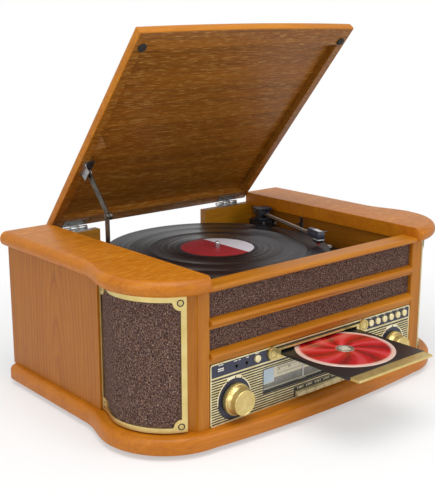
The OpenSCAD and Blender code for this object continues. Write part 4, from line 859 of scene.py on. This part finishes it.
label_paper, shader = surface("printed label paper", Roughness=0.55, IOR=1.5)
place = add(label_paper, "ShaderNodeTexCoord")
centred = add(label_paper, "ShaderNodeVectorMath", {
    0: place.outputs["Object"], 1: at(0, deck_y, record_top)}, operation="SUBTRACT")
parts = add(label_paper, "ShaderNodeSeparateXYZ", {0: centred.outputs[0]})
pale = add(label_paper, "ShaderNodeMapRange", {
    0: parts.outputs[0], 1: 14 * mm, 2: 14.6 * mm})
fibre = add(label_paper, "ShaderNodeTexNoise", {
    "Vector": place.outputs["Object"], "Scale": 420.0, "Detail": 3.0})
red = add(label_paper, "ShaderNodeValToRGB", {"Fac": fibre.outputs[0]}, stops=[
    (0.3, "#8e1620"), (0.7, "#a01e2a")])
split = add(label_paper, "ShaderNodeMix", {
    0: pale.outputs[0], 6: red.outputs[0], 7: linear("#d6d4dc")}, data_type="RGBA")
join(label_paper, split.outputs[2], shader, "Base Color")

groove_foot, blank = record_top - 0.25, record_top - 0.12      # blank bands part the tracks
edge = [(4, record_foot), (record_radius - 0.6, record_foot), (record_radius, record_foot + 0.5),
        (record_radius, record_top - 0.5), (record_radius - 0.4, record_top - 0.1),
        (record_radius - 1.4, record_top), (record_radius - 4, record_top),
        (record_radius - 5, groove_foot), (122, groove_foot), (121.4, blank), (120, blank),
        (119.4, groove_foot), (92, groove_foot), (91.4, blank), (90, blank), (89.4, groove_foot),
        (label + 12, groove_foot), (label + 11, record_top), (label + 0.6, record_top - 0.05),
        (label, record_top - 0.05), (4, record_top - 0.05), (4, record_foot)]
piece("record_vinyl", [lathe(edge, flat_turn(deck_y), 192)], [vinyl], "platter",
      ["record"], sharp=60)
piece("record_label", [lathe([(4, record_top - 0.06), (4, record_top), (17, record_top),
                              (17.4, record_top - 0.03), (18.2, record_top - 0.03),
                              (18.6, record_top), (label - 0.8, record_top),
                              (label - 0.4, record_top - 0.06)],
                             flat_turn(deck_y), 128)],
      [label_paper], "platter", ["record"], sharp=60)


# ---- Tonearm ----
# A black tower screwed to the deck carries the arm's navy-grey swivel plate. The arm is a plated
# tube with a navy-grey weight behind; its head has a pale grey front and a red stylus guard.

dark_grey_abs = hazed("moulded navy-grey ABS", "#1d222e", "#2a303e", 0.0, 0.35)
pale_grey_abs = hazed("moulded pale grey ABS", "#b4b5b6", "#c6c7c8", 0.0, 0.4)
red_abs = hazed("moulded red ABS", "#b02a20", "#c43a2c", 0.0, 0.35)
finish_node("tonearm_base", black_abs, bevel=0.8)
finish_node("tonearm_yoke", dark_grey_abs, bevel=0.5)
finish_node("cue_lever", nickel, bevel=0.2)
finish_node("speed_switch", pale_grey_abs, bevel=0.3)

pivot_x, pivot_y, arm_z, arm_turn, arm_length = 158, 272, 183.5, 16.9, 172
turned_x, turned_y = math.sin(math.radians(arm_turn)), math.cos(math.radians(arm_turn))


def on_arm(x, y, z):
    """A point x beside the tonearm's axis and y behind its pivot."""
    return at(pivot_x + x * turned_y + y * turned_x, pivot_y - x * turned_x + y * turned_y, z)


piece("arm_tube", [
    lathe([(0, 5), (2.6, 5), (2.6, 150), (2.1, 151), (0, 151)],
          lambda u, v, d: on_arm(u, -d, arm_z + v), 32),
    lathe([(0, 5), (2.2, 5), (2.2, 12), (0, 12)], lambda u, v, d: on_arm(u, d, arm_z + v), 24),
    lathe([(0, -8.2), (1.2, -8.2), (1.2, 8.2), (0, 8.2)],
          lambda u, v, d: on_arm(d, u, arm_z + v), 16)],
      [nickel], "tonearm", ["tonearm"])
weight_radius = 6.2
piece("arm_weight", [lathe([
    (0, 11.5), (weight_radius - 0.8, 11.5), (weight_radius, 12.3), (weight_radius, 13.9),
    (weight_radius - 0.6, 14.4), (weight_radius - 0.6, 15.3), (weight_radius, 15.8),
    (weight_radius, 18.2), (weight_radius - 0.8, 19), (0, 19)],
    lambda u, v, d: on_arm(u, d, arm_z + v), 64)], [dark_grey_abs], "tonearm",
    ["tonearm"])


def block(place, x0, y0, z0, x1, y1, z1):
    """A six-sided block between two corners."""
    return loft([[place(x, y, z) for x, y in ((x0, y0), (x1, y0), (x1, y1), (x0, y1))]
                 for z in (z0, z1)])


piece("arm_pivot_block", [block(on_arm, -4.4, -6, arm_z - 3.6, 4.4, 6, arm_z + 3.6)],
      [dark_grey_abs], "tonearm", ["tonearm"], bevel=0.6)
head_low, head_high, tip = record_top + 8.3, arm_z + 10, -arm_length
shell = [(-5.5, tip - 8), (5.5, tip - 8), (5.5, tip + 12), (4, tip + 25), (-4, tip + 25),
         (-5.5, tip + 12)]
crown = [(-4.4, tip - 6.8), (4.4, tip - 6.8), (4.4, tip + 11.6), (3.2, tip + 23.6),
         (-3.2, tip + 23.6), (-4.4, tip + 11.6)]
piece("arm_head", [loft([[on_arm(x, y, z) for x, y in plan] for plan, z in (
    (shell, arm_z - 2), (shell, head_high - 3.4), (crown, head_high - 1.4))])],
    [dark_grey_abs], "tonearm", ["tonearm"], bevel=0.7)
piece("arm_head_front", [block(on_arm, -5.2, tip - 7.6, head_low, 5.2, tip + 5, arm_z - 1.6)],
      [pale_grey_abs], "tonearm", ["tonearm"], bevel=0.8)
piece("arm_head_plate", [block(
    on_arm, -3.4, tip - 5.6, head_high - 1.5, 3.4, tip + 10, head_high - 1.0)],
      [pale_grey_abs], "tonearm", ["tonearm"], bevel=0.2)
piece("arm_cartridge", [block(on_arm, -4, tip - 6, record_top + 5, 4, tip + 8, head_low + 0.4)],
      [black_abs], "tonearm", ["tonearm"], bevel=0.4)
piece("stylus_guard", [
    loft([[on_arm(x, tip + y, record_top + z) for x, y in ((-w, -3), (w, -3), (w, 3), (-w, 3))]
          for w, z in ((2.5, 5.1), (0.9, 1.7))]),
    lathe([(0, 0.3), (0.15, 0.3), (0.5, 1.9), (0, 1.9)],
          lambda u, v, d: on_arm(u, tip + v, record_top + d), 12)],
      [red_abs], "tonearm", ["tonearm"], bevel=0.2)
piece("finger_lift", [loft([[on_arm(x, y, z) for x, y in (
    (5.1, tip - 4), (10.6, tip - 6), (11.7, tip - 2.8), (6.2, tip - 0.8))]
    for z in (head_high - 3.2, head_high - 2)])],
    [black_abs], "tonearm", ["tonearm"], bevel=0.4)


# ---- Lid ----
# Veneered board with its grain from side to side and a moulded edge. The underside is recessed
# inside a rim, and a small block is glued in beside it.

lid_angle = 50.5
hinge_y, hinge_z = 331.5, 192.8


def on_lid(x, y, z):
    """A point of the shut lid, carried round the hinge to where the lid stands open."""
    return (Matrix.Translation(at(0, hinge_y, hinge_z))
            @ Matrix.Rotation(math.radians(-lid_angle), 4, "X")
            @ Matrix.Translation(-at(0, hinge_y, hinge_z))) @ at(x, y, z)


# the lid's colours are the oak's own tone, darkened by painted shade because its underside sits in
# shade
shaded_lid_oak = stained_wood("oak veneer of the lid, darkened by painted shade", (100, 2.8, 2.8),
                       ["#6f4004", "#7f4a06", "#8f550a", "#9c6010"], 0.25,
                       turn=math.radians(-lid_angle), streak=("#b98a45", (7.0, 2.0, 2.0)))
lid_beech = stained_wood("stained beech edge of the lid", (80, 5, 5),
                         ["#a86204", "#b87008", "#c87f12"], 0.1, turn=math.radians(-lid_angle))
lid_half, lid_foot, lid_thick, recess = 175.8, 195, 13.5, 9
recess_half, recess_front, recess_back = 162.2, 19, 312
lid_front, lid_bow, lid_round = corner_y - board_radius + 2.5, 3, 6


def lid_plan(inset):
    """Outline of the lid, drawn in by inset, from the middle of the front round."""
    front = [((lid_half - inset) * i / 24, y) for i, (x, y) in
             enumerate(bowed_front(inset, lid_half - inset, 24) + [(0, 0)])]
    right = [(x, lid_front - lid_bow * (1 - (x / half_bay) ** 2) + inset) for x, y in front]
    return both_halves(right + [(lid_half - inset, cabinet_depth - inset)])


def recess_plan(grow):
    """The recess's outline, with its points matched to those of the lid's outline."""
    return [(max(-recess_half - grow, min(recess_half + grow, x)),
             recess_back + grow if y > 200 else recess_front - grow) for x, y in lid_plan(0)]


plans = [(recess_plan(0), recess), (recess_plan(0), 0.5), (recess_plan(0.5), 0), (lid_plan(1.4), 0),
         (lid_plan(0.4), 0.4), (lid_plan(0), 1.4)]
plans += [(lid_plan(lid_round * (1 - math.cos(math.radians(a)))),
           lid_thick - lid_round * (1 - math.sin(math.radians(a)))) for a in range(0, 91, 10)]
points, faces = loft([[on_lid(x, y, lid_foot + z) for x, y in plan] for plan, z in plans])
around = len(plans[0][0])
numbers = [0] * (3 * around) + [1] * (len(faces) - 3 * around - 2) + [0, 0]
block_x, block_y, block_half, block_long = -153.7, 176, 8.5, 14
wedge = []
for z, front in ((recess, -14), (0.8, 0)):
    wedge.append([on_lid(block_x + x, block_y + y, lid_foot + z) for x, y in (
        (-block_half * (block_long + front) / block_long - 0.01, front),
        (block_half * (block_long + front) / block_long + 0.01, front), (block_half, 0),
        (block_half, block_long), (-block_half, block_long), (-block_half, 0))])
piece("lid_board", [(points, faces, numbers), loft(wedge)], [shaded_lid_oak, lid_beech], "lid",
      ["lid"], sharp=40)
finish_node("lid_bumpers", rubber)


# ---- Hinges and stay ----
# Zinc-plated steel: two butt hinges on the rear wall, and a folding stay of two flat links whose
# knee has a sprung friction cup.

bright_zinc = hazed("bright zinc-plated steel", "#a5a7a8", "#c3c4c3", 1.0, 0.28)
dull_zinc = hazed("dull zinc-plated steel strip", "#55504a", "#77726b", 1.0, 0.36)
finish_node("cabinet_hinge_leaves", bright_zinc, bevel=0.2)
finish_node("lid_hinge_leaves", bright_zinc, bevel=0.2)
finish_node("stay_lower", dull_zinc, bevel=0.25)
finish_node("stay_upper", dull_zinc, bevel=0.25)


# ---- Circuit boards ----
# Green glass-fibre boards on the plinth and behind the control panel, with their parts.

green_board, shader = surface("lacquered green circuit board", Roughness=0.35, IOR=1.5)
place = add(green_board, "ShaderNodeTexCoord")
tracks = add(green_board, "ShaderNodeTexVoronoi", {
    "Vector": place.outputs["Object"], "Scale": 1 / (4 * mm)}, feature="DISTANCE_TO_EDGE")
tint = add(green_board, "ShaderNodeValToRGB", {"Fac": tracks.outputs[0]}, stops=[
    (0.05, "#4f8a52"), (0.12, "#1f4d2e")])
join(green_board, tint.outputs[0], shader, "Base Color")
finish_node("circuit_board", green_board)


# ---- Studio ----
# A wide white table top under soft light from the left and the front, and a plain white room.

floor, shader = surface("white table top", Roughness=0.7)
light_path = add(floor, "ShaderNodeLightPath")
place = add(floor, "ShaderNodeTexCoord")
grain = add(floor, "ShaderNodeTexNoise", {"Vector": place.outputs["Object"], "Scale": 300.0})
tint = add(floor, "ShaderNodeValToRGB", {"Fac": grain.outputs[0]}, stops=[
    (0.3, "#f4f4f4"), (0.7, "#f8f8f8")])
join(floor, tint.outputs[0], shader, "Base Color")
# to the camera the table's far parts are plain white; near the feet it keeps the soft shadow
spread = add(floor, "ShaderNodeVectorMath", {0: place.outputs["Object"]}, operation="LENGTH")
far_off = add(floor, "ShaderNodeMapRange", {
    0: spread.outputs["Value"], 1: 0.34, 2: 0.72, 3: 0.42, 4: 1.0}, interpolation_type="SMOOTHSTEP")
whiteness = add(floor, "ShaderNodeMath", {
    0: far_off.outputs[0], 1: light_path.outputs["Is Camera Ray"]}, operation="MULTIPLY")
white = add(floor, "ShaderNodeEmission", {"Color": (1, 1, 1, 1), "Strength": 1.0})
seen_floor = add(floor, "ShaderNodeMixShader", {
    0: whiteness.outputs[0], 1: shader.outputs[0], 2: white.outputs[0]})
floor.node_tree.links.new(seen_floor.outputs[0], floor.node_tree.nodes["Material Output"].inputs[0])
reach = 4
table = bpy.data.meshes.new("table_top")
table.from_pydata([(-reach, -reach, 0), (reach, -reach, 0), (reach, reach, 0), (-reach, reach, 0)],
                  [], [(0, 1, 2, 3)])
table.materials.append(floor)
table_top = bpy.data.objects.new("table_top", table)
bpy.context.scene.collection.objects.link(table_top)

world = bpy.data.worlds.new("white room")
world.use_nodes = True
bpy.context.scene.world = world
world.node_tree.nodes.clear()
path = add(world, "ShaderNodeLightPath")
seen = add(world, "ShaderNodeMath", {
    0: path.outputs["Is Camera Ray"], 1: path.outputs["Is Transmission Ray"]}, operation="MAXIMUM")
shiny = add(world, "ShaderNodeMath", {
    0: path.outputs["Is Glossy Ray"], 1: 0.6, 2: seen.outputs[0]}, operation="MULTIPLY_ADD")
strength = add(world, "ShaderNodeMapRange", {
    "Value": shiny.outputs[0], "To Min": 0.45, "To Max": 1.0})
background = add(world, "ShaderNodeBackground", {
    "Color": (1, 1, 1, 1), "Strength": strength.outputs[0]})
add(world, "ShaderNodeOutputWorld", {"Surface": background.outputs[0]})


def soft_light(name, place, aim, size, power):
    """A square soft box at place, turned toward aim."""
    lamp = bpy.data.lights.new(name, "AREA")
    lamp.shape, lamp.size, lamp.energy = "SQUARE", size, power
    box = bpy.data.objects.new(name, lamp)
    box.location = place
    box.rotation_euler = (Vector(aim) - Vector(place)).to_track_quat("-Z", "Y").to_euler()
    bpy.context.scene.collection.objects.link(box)


soft_light("overhead_softbox", (-0.4, -0.5, 1.8), (0, 0, 0.1), 1.4, 22)
soft_light("front_softbox", (0.7, -1.9, 0.9), (0, 0, 0.1), 1.0, 10)
soft_light("left_softbox", (-1.8, -0.4, 0.8), (0, 0, 0.15), 1.0, 8)

camera = bpy.data.cameras.new("camera")
camera.sensor_fit, camera.sensor_height, camera.sensor_width, camera.lens = "VERTICAL", 36, 36, 68.9
seat = bpy.data.objects.new("camera", camera)
seat.location = (-0.8042, -0.8643, 0.48146)
seat.rotation_euler = (math.radians(90 - 14.07), 0, math.radians(-40.39))
bpy.context.scene.collection.objects.link(seat)
bpy.context.scene.camera = seat

bpy.context.scene.view_settings.view_transform = "Standard"
